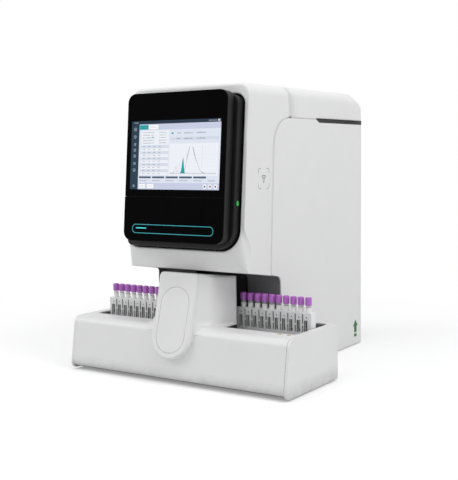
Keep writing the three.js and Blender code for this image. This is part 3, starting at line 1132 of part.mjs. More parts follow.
// Reagent bottles on the chassis floor
const bottleProfile = [
  [0, 0],
  [BOTTLE_RADIUS, 0],
  [BOTTLE_RADIUS, BOTTLE_HEIGHT - BOTTLE_SHOULDER],
  [BOTTLE_RADIUS * Math.cos(Math.PI / 6), BOTTLE_HEIGHT - BOTTLE_SHOULDER / 2],
  [BOTTLE_NECK_RADIUS, BOTTLE_HEIGHT],
  [BOTTLE_NECK_RADIUS, BOTTLE_HEIGHT + BOTTLE_NECK_HEIGHT / 2],
  [BOTTLE_CAP_RADIUS, BOTTLE_HEIGHT + BOTTLE_NECK_HEIGHT / 2],
  [BOTTLE_CAP_RADIUS, BOTTLE_HEIGHT + BOTTLE_NECK_HEIGHT / 2 + BOTTLE_CAP_HEIGHT],
  [0, BOTTLE_HEIGHT + BOTTLE_NECK_HEIGHT / 2 + BOTTLE_CAP_HEIGHT],
];
const bottleSolid = solid(turned(bottleProfile, 20));
['reagent_bottle_a', 'reagent_bottle_b', 'reagent_bottle_c'].forEach((name, index) => {
  const depth = BOTTLE_FIRST_DEPTH + index * BOTTLE_PITCH;
  place(name, bottleSolid, BOTTLE).position.set(BOTTLE_SIDE, depth, FLOOR_TOP + FIT_GAP);
});

// Pump with two heads, and column oven, on the shelf
const shelfTop = SHELF_HEIGHT + FIT_GAP;
let pump = block([PUMP_SIDE - PUMP_WIDTH / 2, PUMP_SIDE + PUMP_WIDTH / 2],
  [PUMP_FRONT, PUMP_FRONT + PUMP_LENGTH], [shelfTop, shelfTop + PUMP_HEIGHT]);
for (const share of [0.27, 0.73]) {
  const centre = [PUMP_SIDE + PUMP_WIDTH / 2, PUMP_FRONT + PUMP_LENGTH * share,
    shelfTop + PUMP_HEIGHT / 2];
  pump = pump.add(disc(PUMP_HEAD_RADIUS, -OVERRUN / 4, PUMP_HEAD_LENGTH - OVERRUN / 4,
    centre, 20, 'x'));
}
place('pump_unit', pump, STEEL);

const ovenBlock = alongY(rectangle(OVEN_SIDE - OVEN_WIDTH / 2, OVEN_SIDE + OVEN_WIDTH / 2,
  shelfTop, shelfTop + OVEN_HEIGHT, OVEN_EDGE), OVEN_FRONT, OVEN_FRONT + OVEN_LENGTH);
const ovenPipe = disc(OVEN_PIPE_RADIUS, -OVEN_EDGE, OVEN_PIPE_LENGTH,
  [OVEN_SIDE, OVEN_FRONT + OVEN_LENGTH / 2, shelfTop + OVEN_HEIGHT], 12);
place('column_oven', ovenBlock.add(ovenPipe), WARM_WHITE);

place('power_supply', block([SUPPLY_SIDE - SUPPLY_WIDTH / 2, SUPPLY_SIDE + SUPPLY_WIDTH / 2],
  [SUPPLY_FRONT, SUPPLY_FRONT + SUPPLY_LENGTH], [FLOOR_TOP + FIT_GAP, FLOOR_TOP + FIT_GAP
  + SUPPLY_HEIGHT]), STEEL);

// Feet under the tray and under the rear of the housing
const footTop = PLATE_LIFT - FIT_GAP;
const footProfile = [
  [0, footTop - FOOT_HEIGHT],
  [FOOT_RADIUS - FOOT_TAPER, footTop - FOOT_HEIGHT],
  [FOOT_RADIUS, footTop - FOOT_HEIGHT + FOOT_TAPER],
  [FOOT_RADIUS, footTop],
  [0, footTop],
];
const footSolid = solid(turned(footProfile, 20));
const feet = [
  ['foot_tray_left', FOOT_INSET - TRAY_HALF, 2 * FOOT_INSET],
  ['foot_tray_right', TRAY_HALF - FOOT_INSET, 2 * FOOT_INSET],
  ['foot_rear_left', FOOT_INSET - BODY_HALF, BODY_REAR - 2 * FOOT_INSET],
  ['foot_rear_right', BODY_HALF - FOOT_INSET, BODY_REAR - 2 * FOOT_INSET],
];
for (const [name, x, y] of feet) {
  place(name, footSolid, RUBBER).position.set(x, y, 0);
}

// The origin is the middle of the footprint, on the bench
const bounds = new THREE.Box3().setFromObject(machine);
const centre = bounds.getCenter(new THREE.Vector3());
machine.position.set(-centre.x, -centre.y, -bounds.min.z);

export default group;
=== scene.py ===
import itertools
import math

import bmesh
import bpy
import numpy as np
from bpy.props import FloatProperty, FloatVectorProperty, PointerProperty
from mathutils import Matrix, Vector


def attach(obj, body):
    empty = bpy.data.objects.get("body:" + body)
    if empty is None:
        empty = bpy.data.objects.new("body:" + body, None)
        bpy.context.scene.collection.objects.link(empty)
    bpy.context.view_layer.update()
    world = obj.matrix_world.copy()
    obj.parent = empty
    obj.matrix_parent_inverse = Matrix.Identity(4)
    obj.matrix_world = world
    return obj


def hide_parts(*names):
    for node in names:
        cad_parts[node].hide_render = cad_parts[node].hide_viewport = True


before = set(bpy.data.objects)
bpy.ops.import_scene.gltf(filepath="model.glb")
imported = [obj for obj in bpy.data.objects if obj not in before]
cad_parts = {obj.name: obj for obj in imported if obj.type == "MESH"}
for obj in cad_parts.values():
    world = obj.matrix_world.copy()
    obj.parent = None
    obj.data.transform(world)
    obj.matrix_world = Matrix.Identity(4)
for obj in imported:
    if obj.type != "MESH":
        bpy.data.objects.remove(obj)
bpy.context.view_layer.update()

bl_info = {
    "name": "Haemoglobin analyser dressing",
    "version": (1, 0, 0),
    "blender": (4, 5, 0),
    "location": "View3D > Sidebar > Analyser",
    "description": "Moulded skins, screen, racks and finishes over a packed CAD frame",
    "category": "Object",
}

MM = 0.001

# The part's own frame in millimetres: X right, Y to the rear, Z up from the tray's foot
SHIFT = np.array((0.0, -334.9, 4.3))

# Sizes in that frame: tray and its round brow, housing with its chin and leaning rim, tongue
# with its panel, bridge and its hood, screen head, racks, roof cover and finger slot
TRAY_HEIGHT, TRAY_LEAN, TRAY_LIP = 131.2, 19.4, 82.0
BROW_HEIGHT, BROW_ROUND = 112.2, 19.0
BODY_HALF, CHIN_FOOT, CHIN_LEAN, CHIN_REACH = 174.2, 263.7, 0.363, 3.0
UNDER_FRONT = 71.8
UNDER_SLOPE = (CHIN_FOOT - 238.3) / (225.7 - UNDER_FRONT)
RIM_FOOT, RIM_TILT = np.array((0.0, 59.2, 313.5)), math.atan(34.5 / 389.3)
TONGUE_SLOPE, TONGUE_HALF, PANEL_HALF = 0.285, 56.0, 40.5
TONGUE_FOOT, TONGUE_TILT = np.array((0.0, 4.7, 115.2)), math.atan(TONGUE_SLOPE)
TONGUE_PARTS, PANEL_LOW, PANEL_HIGH = (14, 16), 73.7, 225.0
HOOD_FOOT, HOOD_CROWN, HOOD_PEAK, HOOD_TAIL = 95.0, 246.0, 257.0, 100.0
HOOD_ENDS, HOOD_BEND, HOOD_PROUD = {1.0: 139.0, -1.0: 126.0}, 0.46, 0.7
HEAD_HALF, HEAD_LOW, HEAD_HIGH, HEAD_ROUND = 145.0, 16.5, 370.0, 22.0
GLASS_SPLIT = 122.5
SCREEN_WIDE, SCREEN_TALL, SCREEN_LOW = 261.0, 163.5, 140.0
RACK_FIRST, TUBE_PITCH = {"right": (99.2, 173.0), "left": (-279.2, 139.0)}, 20.0
DOOR_TOP, ROOF_HEIGHT, ROOF_EDGE_ROUND = 625.0, 702.8, 28.0
ROOF_TOP, ROOF_LOW, ROOF_REAR, SLOT_STEP = 702.79, 625.3, 679.49, 2.9
INK = 0.12

# In metres: the skins' wall, and how far apart points of one seam may lie
SHELL_WALL, SEAM_GAP = 0.0028, 0.00002
# Painted shade of the finger slot, and the colour of drawn steel
SLOT_PAINTED_SHADE, STEEL = (0.035, 0.035, 0.036), (0.60, 0.61, 0.62)


# ---------------------------------------------------------------- settings

def colour_setting(name, description, default):
    """A colour property with four channels, as the shaders take it."""
    return FloatVectorProperty(name=name, description=description, default=(*default, 1.0),
                               subtype="COLOR", size=4, min=0.0, max=1.0)


def length_setting(name, description, default, low, high):
    """A length property in metres."""
    return FloatProperty(name=name, description=description, default=default, min=low, max=high,
                         unit="LENGTH")


class AnalyserFinish(bpy.types.PropertyGroup):
    """Colours of the analyser's finishes."""
    shell: colour_setting("Shell", "Satin white of the moulded housing", (0.80, 0.80, 0.795))
    rear: colour_setting("Rear panel", "Powder coat of the rear panel", (0.74, 0.74, 0.73))
    liner: colour_setting("Recess liner", "Matt grey under the head", (0.19, 0.19, 0.193))
    band: colour_setting("Head band", "Satin black round the screen head", (0.011, 0.011, 0.012))
    rack: colour_setting("Rack", "Light grey of the sample racks", (0.86, 0.865, 0.865))
    cap: colour_setting("Tube cap", "Purple of the tube caps", (0.50, 0.155, 0.60))
    light: colour_setting("Light guide", "Teal glow of the light guide", (0.022, 0.27, 0.31))


class AnalyserShape(bpy.types.PropertyGroup):
    """Sizes of the rounded forms that the dressing adds."""
    edge: length_setting("Edge", "Round on moulded edges", 0.0013, 0.0002, 0.004)
    rim_round: length_setting("Rim round", "Round from the rim to the sides",
                              0.0085, 0.002, 0.012)
    chin_round: length_setting("Chin round", "Soft corner under the rim", 0.010, 0.004, 0.04)
    roof_round: length_setting("Roof round", "Round from the roof to the rear",
                               0.042, 0.03, 0.06)
    flare: length_setting("Flare", "Concave round at the foot of the bridge",
                          0.018, 0.005, 0.03)
    lamp: FloatProperty(name="Lamp level", description="Strength of the studio lamps",
                        default=1.0, min=0.1, max=4.0)


# ---------------------------------------------------------------- shader maths

def operator_of(operation, turned=False):
    """A Wire method that adds one Math node, with self second where it is turned."""
    def method(self, other):
        return self.maths(operation, *((other, self) if turned else (self, other)))
    return method


class Wire:
    """A node socket that Python operators work on, each adding its Math node."""

    def __init__(self, nodes, socket):
        self.nodes = nodes
        self.socket = socket

    def maths(self, operation, *values):
        """One Math node on the values."""
        return self.nodes.node("ShaderNodeMath", {"operation": operation},
                               dict(enumerate(values)))

    __add__, __radd__ = operator_of("ADD"), operator_of("ADD", turned=True)
    __sub__, __rsub__ = operator_of("SUBTRACT"), operator_of("SUBTRACT", turned=True)
    __mul__, __rmul__ = operator_of("MULTIPLY"), operator_of("MULTIPLY", turned=True)
    __truediv__, __rtruediv__ = operator_of("DIVIDE"), operator_of("DIVIDE", turned=True)
    __pow__, __mod__ = operator_of("POWER"), operator_of("FLOORED_MODULO")
    __gt__, __lt__ = operator_of("GREATER_THAN"), operator_of("LESS_THAN")

    def __neg__(self):
        return self * -1.0

    def __abs__(self):
        return self.maths("ABSOLUTE", self)

    def inside(self, low, high):
        """1 between low and high, else 0."""
        return (self > low) * (self < high)


class Nodes:
    """A node tree under construction, with one method that adds any node to it."""

    def __init__(self, tree):
        self.tree = tree
        tree.nodes.clear()

    def join(self, socket, value):
        """Links a wire to a socket, or sets the socket's own value."""
        if isinstance(value, Wire):
            self.tree.links.new(value.socket, socket)
        else:
            socket.default_value = value

    def node(self, kind, settings=None, sockets=None, output=0):
        """Any node: its settings first, then its sockets. One of its outputs comes back."""
        made = self.tree.nodes.new(kind)
        for key, value in (settings or {}).items():
            setattr(made, key, value)
        for key, value in (sockets or {}).items():
            self.join(made.inputs[key], value)
        return Wire(self, made.outputs[output])

    def seen(self):
        """Wires that are 1 on camera rays, and on camera, glossy or transmitted rays."""
        camera, glossy, through = (
            self.node("ShaderNodeLightPath", output=f"Is {kind} Ray")
            for kind in ("Camera", "Glossy", "Transmission"))
        return camera, camera + glossy + through > 0.5

    def blend(self, factor, first, second):
        """Shader mix from first to second."""
        return self.node("ShaderNodeMixShader", None, {0: factor, 1: first, 2: second})


class Paint(Nodes):
    """A node material under construction on one Principled shader."""

    def __init__(self, name, **values):
        self.material = bpy.data.materials.new(name)
        self.material.use_nodes = True
        super().__init__(self.material.node_tree)
        self.output = self.tree.nodes.new("ShaderNodeOutputMaterial")
        self.shader = self.tree.nodes.new("ShaderNodeBsdfPrincipled")
        self.surface(Wire(self, self.shader.outputs[0]))
        for socket, value in values.items():
            self.feed(socket.replace("_", " "), value)

    def surface(self, shader):
        """Makes a shader the one that the material shows."""
        self.join(self.output.inputs["Surface"], shader)

    def feed(self, socket, value):
        """Sets or links one socket of the Principled shader."""
        self.join(self.shader.inputs[socket], value)

    def mix(self, factor, first, second):
        """Colour mix from first to second."""
        return self.node("ShaderNodeMix", {"data_type": "RGBA"},
                         {0: factor, 6: first, 7: second}, output=2)

    def place(self):
        """Object coordinates, in metres."""
        return self.node("ShaderNodeTexCoord", output=3)

    def axes(self):
        """The three object coordinates as wires."""
        split = self.tree.nodes.new("ShaderNodeSeparateXYZ")
        self.join(split.inputs[0], self.place())
        return [Wire(self, socket) for socket in split.outputs]

    def part_axes(self):
        """The three axes in the part's own millimetres."""
        return [axis * 1000.0 - shift for axis, shift in zip(self.axes(), SHIFT.tolist())]

    def noise(self, scale, detail=2.0, rough=0.5):
        """Noise of so many cells a metre, about 0.5."""
        return self.node("ShaderNodeTexNoise", None,
                         {"Vector": self.place(), "Scale": scale, "Detail": detail,
                          "Roughness": rough})

    def soft_edge(self, radius):
        """Normal rounded off at edges by a small radius."""
        return self.node("ShaderNodeBevel", {"samples": 6}, {"Radius": radius})

    def relief(self, height, strength, distance, normal):
        """Bump from a height wire, over an edge normal."""
        return self.node("ShaderNodeBump", None, {"Height": height, "Strength": strength,
                                                  "Distance": distance, "Normal": normal})


# ---------------------------------------------------------------- finishes

def shade(colour, factor=1.0):
    """A colour taken darker or lighter, with its alpha at 1."""
    return tuple(min(1.0, c * factor) for c in colour[:3]) + (1.0,)


def grey(level):
    """A grey with its alpha at 1."""
    return level, level, level, 1.0


def moulded(name, colour, rough=0.4, grain=1400.0, depth=0.00003, cloud=0.03, edge=0.0013,
            gloss=0.5, foot_grime_and_shade=0.0, marks=None):
    """Moulded or painted surface: a slow cloud in the colour, a fine spark grain as relief,
    uneven gloss, grime and painted shade darkening towards the foot, and edges caught by the
    light."""
    spread = 0.07
    paint = Paint(name, Specular_IOR_Level=gloss)
    smudge = paint.noise(38.0, 4.0, 0.6)
    tone = paint.mix(paint.noise(9.0, 3.0), shade(colour, 1.0 - cloud),
                     shade(colour, 1.0 + cloud * 0.5))
    # Painted shade with grime: the foot is darkened, patchy, where it turns under away from the
    # light
    if foot_grime_and_shade:
        low = paint.node("ShaderNodeMapRange", None,
                         {0: paint.axes()[2], 1: 0.0, 2: 0.04, 3: foot_grime_and_shade, 4: 0.0})
        tone = paint.mix(low * smudge, tone, shade(colour, 0.5))
    if marks is not None:
        tone = marks(paint, tone)
    paint.feed("Base Color", tone)
    paint.feed("Roughness", smudge * spread + (rough - spread * 0.5))
    paint.feed("Normal", paint.relief(paint.noise(grain, 2.0), 0.35, depth,
                                      paint.soft_edge(edge)))
    return paint.material


def brushed(name, colour, axis, rough=0.28):
    """Metal drawn along one axis: streaks in gloss and relief across it."""
    paint = Paint(name, Metallic=1.0)
    stretch = [900.0, 900.0, 900.0]
    stretch[axis] = 18.0
    drawn = paint.node("ShaderNodeMapping", None, {"Vector": paint.place(), "Scale": stretch})
    streak = paint.node("ShaderNodeTexNoise", None, {"Vector": drawn, "Scale": 1.0,
                                                     "Detail": 3.0})
    paint.feed("Base Color", paint.mix(paint.noise(30.0, 3.0), shade(colour, 0.86),
                                       shade(colour)))
    paint.feed("Roughness", streak * 0.16 + (rough - 0.05))
    paint.feed("Normal", paint.relief(streak, 0.25, 0.00002, paint.soft_edge(0.0006)))
    return paint.material


def clouded(name, dark, bright, scale, detail=2.0, socket="Base Color", **values):
    """Plain or lit stuff with a slow cloud in its colour."""
    paint = Paint(name, **values)
    paint.feed(socket, paint.mix(paint.noise(scale, detail), dark, bright))
    return paint.material


def black_gloss(name, picture=None):
    """Gloss black front sheet, faintly uneven, with the lit picture where one is given."""
    paint = Paint(name, Specular_IOR_Level=0.02)
    smear = paint.noise(26.0, 3.0, 0.6)
    paint.feed("Base Color", paint.mix(smear, (0.0009, 0.0009, 0.0011, 1.0),
                                       (0.0019, 0.0019, 0.0022, 1.0)))
    paint.feed("Roughness", smear * 0.05 + 0.05)
    paint.feed("Normal", paint.soft_edge(0.0006))
    if picture is not None:
        paint.feed("Emission Color", picture(paint))
        paint.feed("Emission Strength", 1.0)
    return paint.material


def dress(names, material):
    """Puts one material in every slot of the named CAD nodes."""
    for name in names:
        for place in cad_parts[name].material_slots:
            place.material = material


# ---------------------------------------------------------------- surfaces

def object_of(name, shape, material, slot, body="frame", smooth=35.0, node=()):
    """Mesh object from points in the part's millimetres and faces, riding on a body."""
    points, faces = shape
    mesh = bpy.data.meshes.new(name)
    mesh.from_pydata(((points + SHIFT) * MM).tolist(), [], faces)
    mesh.validate()
    mesh.shade_smooth()
    mesh.set_sharp_from_angle(angle=math.radians(smooth))
    made = bpy.data.objects.new(name, mesh)
    bpy.context.scene.collection.objects.link(made)
    mesh.materials.append(material)
    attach(made, body)
    if node:
        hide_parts(*node)
    return made


def reworked(made, seam=None):
    """Joins the points that meet along a seam, or turns a closed mesh's faces outwards."""
    mesh = bmesh.new()
    mesh.from_mesh(made.data)
    if seam:
        bmesh.ops.remove_doubles(mesh, verts=mesh.verts, dist=seam)
    else:
        bmesh.ops.recalc_face_normals(mesh, faces=mesh.faces)
    mesh.to_mesh(made.data)
    mesh.free()


def solid_wall(made, thickness):
    """Gives an open skin its wall, inwards."""
    wall = made.modifiers.new("Wall", "SOLIDIFY")
    wall.thickness = thickness
    wall.offset = -1.0
    wall.use_even_offset = False


def ring_faces(rings, around, closed=True, first_cap=False, last_cap=False, flip=False):
    """Quads between rings of a grid, each ring run the same way round."""
    i, j = np.meshgrid(np.arange(rings - 1), np.arange(around if closed else around - 1),
                       indexing="ij")
    k = (j + 1) % around
    quads = np.stack((i * around + j, i * around + k, (i + 1) * around + k,
                      (i + 1) * around + j), axis=-1).reshape(-1, 4)
    faces = (quads[:, ::-1] if flip else quads).tolist()
    if first_cap:
        faces.append(list(range(around))[::-1])
    if last_cap:
        faces.append(list(range((rings - 1) * around, rings * around)))
    return faces


def sheet(grid, **how):
    """Points and faces of a grid of rings."""
    return grid.reshape(-1, 3), ring_faces(*grid.shape[:2], **how)


def closed_form(grid):
    """Points and faces of a grid of rings with both ends capped."""
    return sheet(grid, first_cap=True, last_cap=True)


def gathered(forms):
    """Points and faces of several forms as one mesh."""
    points, faces, shift = [], [], 0
    for own_points, own_faces in forms:
        points.append(own_points)
        faces += [[corner + shift for corner in face] for face in own_faces]
        shift += len(own_points)
    return np.concatenate(points), faces


def rounded_loop(low, high, radii, inset=0.0, side=8, arc=10):
    """Rectangle with four corner radii, moved inwards by each inset in turn.

    Corners run bottom right, top right, top left, bottom left. A corner point is its centre
    plus its radius times (cos, sin) of the angle, and sides are straight between the arcs,
    cut into equal parts or at the given shares."""
    inset = np.atleast_1d(np.asarray(inset, float))[:, None, None]
    signs = np.array(((1, -1), (1, 1), (-1, 1), (-1, -1)), float)
    corner = np.where(signs > 0, np.asarray(high, float), np.asarray(low, float))
    radius = np.maximum(np.asarray(radii, float)[None, :, None] - inset, 0.05)
    centre = corner - signs * (inset + radius)
    angles = np.array((-0.5, 0.0, 0.5, 1.0))[:, None] * math.pi \
        + np.linspace(0.0, math.pi / 2, arc + 1)
    arcs = centre[:, :, None, :] + radius[..., None] * np.stack(
        (np.cos(angles), np.sin(angles)), axis=-1)
    ends = np.roll(arcs[:, :, :1, :], -1, axis=1)
    share = (side if np.ndim(side) else np.linspace(0.0, 1.0, side + 1)[1:-1])[:, None]
    sides = arcs[:, :, -1:, :] * (1.0 - share) + ends * share
    return np.concatenate((arcs, sides), axis=2).reshape(len(inset), -1, 2)


def quarter(radius, steps, top=0.0):
    """Inset and height along a quarter round that ends a wall, from the wall inwards:
    inset = r(1 - cos a), height = top - r(1 - sin a)."""
    angle = np.linspace(0.0, math.pi / 2, steps + 1)
    return [(radius * (1.0 - math.cos(a)), top - radius * (1.0 - math.sin(a))) for a in angle]


def raised(flat, level):
    """Points of a flat outline at one level above its plane."""
    return np.column_stack((flat, np.full(len(flat), level)))


def on_plane(flat, foot, tilt):
    """Points (x, up the plane, out of it) put on a plane leaning back by tilt."""
    up = np.array((0.0, math.sin(tilt), math.cos(tilt)))
    out = np.array((0.0, -math.cos(tilt), math.sin(tilt)))
    return foot + flat[..., :1] * np.array((1.0, 0.0, 0.0)) + flat[..., 1:2] * up \
        + flat[..., 2:3] * out


def rim_place(flat):
    """Points put on the display's leaning plane."""
    return on_plane(flat, RIM_FOOT, RIM_TILT)


def tongue_place(flat):
    """Points put on the tongue's leaning plane."""
    return on_plane(flat, TONGUE_FOOT, TONGUE_TILT)


def slab(low, high, radii, profile, place, side=8, arc=10):
    """Rounded slab: each profile row is an inset of the outline and a height."""
    profile = np.asarray(profile, float)
    loops = rounded_loop(low, high, radii, profile[:, 0], side, arc)
    height = np.broadcast_to(profile[:, 1][:, None, None], loops.shape[:2] + (1,))
    return closed_form(place(np.concatenate((loops, height), axis=-1)))


def smoothstep(value, low, high):
    """share squared times (3 - 2 share), for the share of the way from low to high."""
    share = np.clip((value - low) / (high - low), 0.0, 1.0)
    return share * share * (3.0 - 2.0 * share)


# ---------------------------------------------------------------- housing front

def rim_depth(height):
    """Depth of the leaning rim plane at a height."""
    return RIM_FOOT[1] + (height - RIM_FOOT[2]) * math.tan(RIM_TILT)


def roof_seam(height):
    """Depth of the seam between the front shell and the roof cover."""
    return 282.0 - 8.0 * (height - DOOR_TOP) / 77.8


def seam_depth(height):
    """Depth of the seam behind the front shell on the sides: the leaning door edge, its
    round upper corner, and the roof seam above the door."""
    corner_round = 70.0
    corner_foot = DOOR_TOP - corner_round
    door = 165.0 + 38.4 * height / DOOR_TOP
    corner = 269.2 - np.sqrt(np.clip(corner_round ** 2 - (height - corner_foot) ** 2, 0.0, None))
    return np.where(height < corner_foot, door,
                    np.where(height < 625.2, corner, roof_seam(height))) - 0.3


def under_drop(past, height):
    """Fall of the chin's underside: a slope on the depth past its front edge, times the
    square of the share of the height from the opening's foot down to the chin's."""
    share = np.clip((RIM_FOOT[2] - height) / (RIM_FOOT[2] - CHIN_FOOT), 0.0, 1.0)
    return past * UNDER_SLOPE * share * share


def front_skin(rim_round, chin_round):
    """Front shell as a profile carried round the display opening.

    Down the opening's wall, over a small lip, out across the rim and chin, round to the sides
    with a radius that grows at the two lower corners, and back to the seams. Depth is the rim
    plane plus a fall that grows with distance below the opening."""
    near = np.array((0.006, 0.014, 0.022, 0.032, 0.048, 0.058, 0.07, 0.096, 0.11))
    seam_part = np.concatenate((np.linspace(0.705, 0.877, 12), (0.8782,)))
    share = np.unique(np.round(np.concatenate((np.linspace(0.0, 1.0, 25)[1:-1], near, 1.0 - near,
                                               seam_part, 1.0 - seam_part)), 5))
    head_top = RIM_FOOT[2] + 365.0 * math.cos(RIM_TILT)

    def opening_loop(inset):
        return rounded_loop((-161.0, RIM_FOOT[2]), (161.0, head_top), (52.0, 24.0, 24.0, 18.0),
                            inset, share, 14)[0]

    outer = rounded_loop((-BODY_HALF, CHIN_FOOT), (BODY_HALF, ROOF_HEIGHT),
                         (1.5, ROOF_EDGE_ROUND, ROOF_EDGE_ROUND, 1.5), 0.0, share, 14)[0]
    opening = opening_loop(0.0)
    below = (outer[:, 1] < CHIN_FOOT + 0.5) & (np.abs(outer[:, 0]) < BODY_HALF - 0.5)
    radius = np.where(below, 4.0,
                      1.2 + (rim_round - 1.2) * smoothstep(outer[:, 1], 300.0, 350.0))

    def at(flat, depth, far):
        """Points of the shell: plane depth, the fall below the opening, and the round's own."""
        fall = CHIN_LEAN * np.maximum(far - CHIN_REACH, 0.0) \
            * (1.0 - smoothstep(flat[..., 1], 318.0, 372.0))
        y = rim_depth(flat[..., 1]) + fall + depth
        z = flat[..., 1] - under_drop(np.maximum(y - UNDER_FRONT, 0.0), flat[..., 1])
        return np.stack((flat[..., 0], y, z), axis=-1)

    lip = 3.6
    beside = np.zeros(len(opening))
    rows = [at(opening, depth, beside) for depth in (12.0, lip + 1.0)]
    for angle in np.linspace(0.0, math.pi / 2, 6):
        rows.append(at(opening_loop(-lip * (1.0 - math.cos(angle))),
                       lip * (1.0 - math.sin(angle)), beside))
    lip_ring = opening_loop(-lip)
    across = outer - lip_ring
    room = np.linalg.norm(across, axis=1)
    band_end = lip_ring + across * np.clip(1.0 - radius / room, 0.05, 1.0)[:, None]
    for part in np.linspace(0.0, 1.0, 10)[1:]:
        flat = lip_ring + (band_end - lip_ring) * part
        rows.append(at(flat, 0.0, np.linalg.norm(flat - opening, axis=1)))
    edge_far = np.linalg.norm(band_end - opening, axis=1)
    for angle in np.linspace(0.0, math.pi / 2, 10)[1:]:
        flat = band_end + (outer - band_end) * math.sin(angle)
        rows.append(at(flat, radius * (1.0 - math.cos(angle)), edge_far))
    x, edge_y, edge_z = rows[-1].T
    seam = np.where(below, 86.5, seam_depth(edge_z))
    for part in np.linspace(0.0, 1.0, 19)[1:] ** 1.9:
        y = edge_y + (seam - edge_y) * part
        past = np.maximum(y - UNDER_FRONT, 0.0) - np.maximum(edge_y - UNDER_FRONT, 0.0)
        rows.append(np.stack((x, y, edge_z - under_drop(past, outer[:, 1])), axis=-1))
    return soft_corners(np.stack(rows), rim_round, chin_round)


def soft_corners(grid, rim_round, chin_round):
    """Rounds the two upright corners below the rim.

    a and b are distances in from the side and back from the front, q = b - a and the depth
    inside is min(a, b). Each point goes to the arc about (r, r) of radius r - depth, at the
    angle that q gives. r grows from the rim's round to the chin's below the opening."""
    x, y, z = grid[..., 0], grid[..., 1], grid[..., 2]
    upper = 345.0
    flat_z = np.maximum(z, CHIN_FOOT)
    front = rim_depth(flat_z) + CHIN_LEAN * np.maximum(RIM_FOOT[2] - flat_z - CHIN_REACH, 0.0)
    radius = rim_round + (chin_round - rim_round) * (1.0 - smoothstep(z, 272.0, 350.0))
    a = BODY_HALF - np.abs(x)
    b = np.maximum(y - front, 0.0)
    arm = radius - np.minimum(np.minimum(a, b), radius * 0.9)
    angle = np.clip((b - a + arm) / (2.0 * arm), 0.0, 1.0) * math.pi / 2
    near = (a < radius) & (b < radius) & (z < upper)
    turned_a = radius - arm * np.sin(angle)
    turned_b = radius - arm * np.cos(angle)
    fade = smoothstep(z, 318.0, upper)
    new_a = np.where(near, turned_a + (a - turned_a) * fade, a)
    new_y = np.where(near, front + turned_b + (b - turned_b) * fade, y)
    return np.stack((np.sign(x) * (BODY_HALF - new_a), new_y, z), axis=-1)


class ANALYSER_OT_front(bpy.types.Operator):
    """Make the moulded front shell round the display opening"""
    bl_idname = "analyser.front"
    bl_label = "Front shell"

    def execute(self, context):
        shape, finish = context.scene.analyser_shape, context.scene.analyser_finish
        grid = front_skin(shape.rim_round / MM, shape.chin_round / MM)
        skin = object_of("front_shell_skin", sheet(grid, flip=True),
                         moulded("shell_front", finish.shell, edge=shape.edge), "white_shell",
                         smooth=38.0, node=("front_shell",))
        solid_wall(skin, SHELL_WALL)
        return {"FINISHED"}


# ---------------------------------------------------------------- display

def hue(red, green, blue):
    """A colour from screen values of 0 to 255."""
    return tuple(((c / 255.0 + 0.055) / 1.055) ** 2.4 for c in (red, green, blue)) + (1.0,)


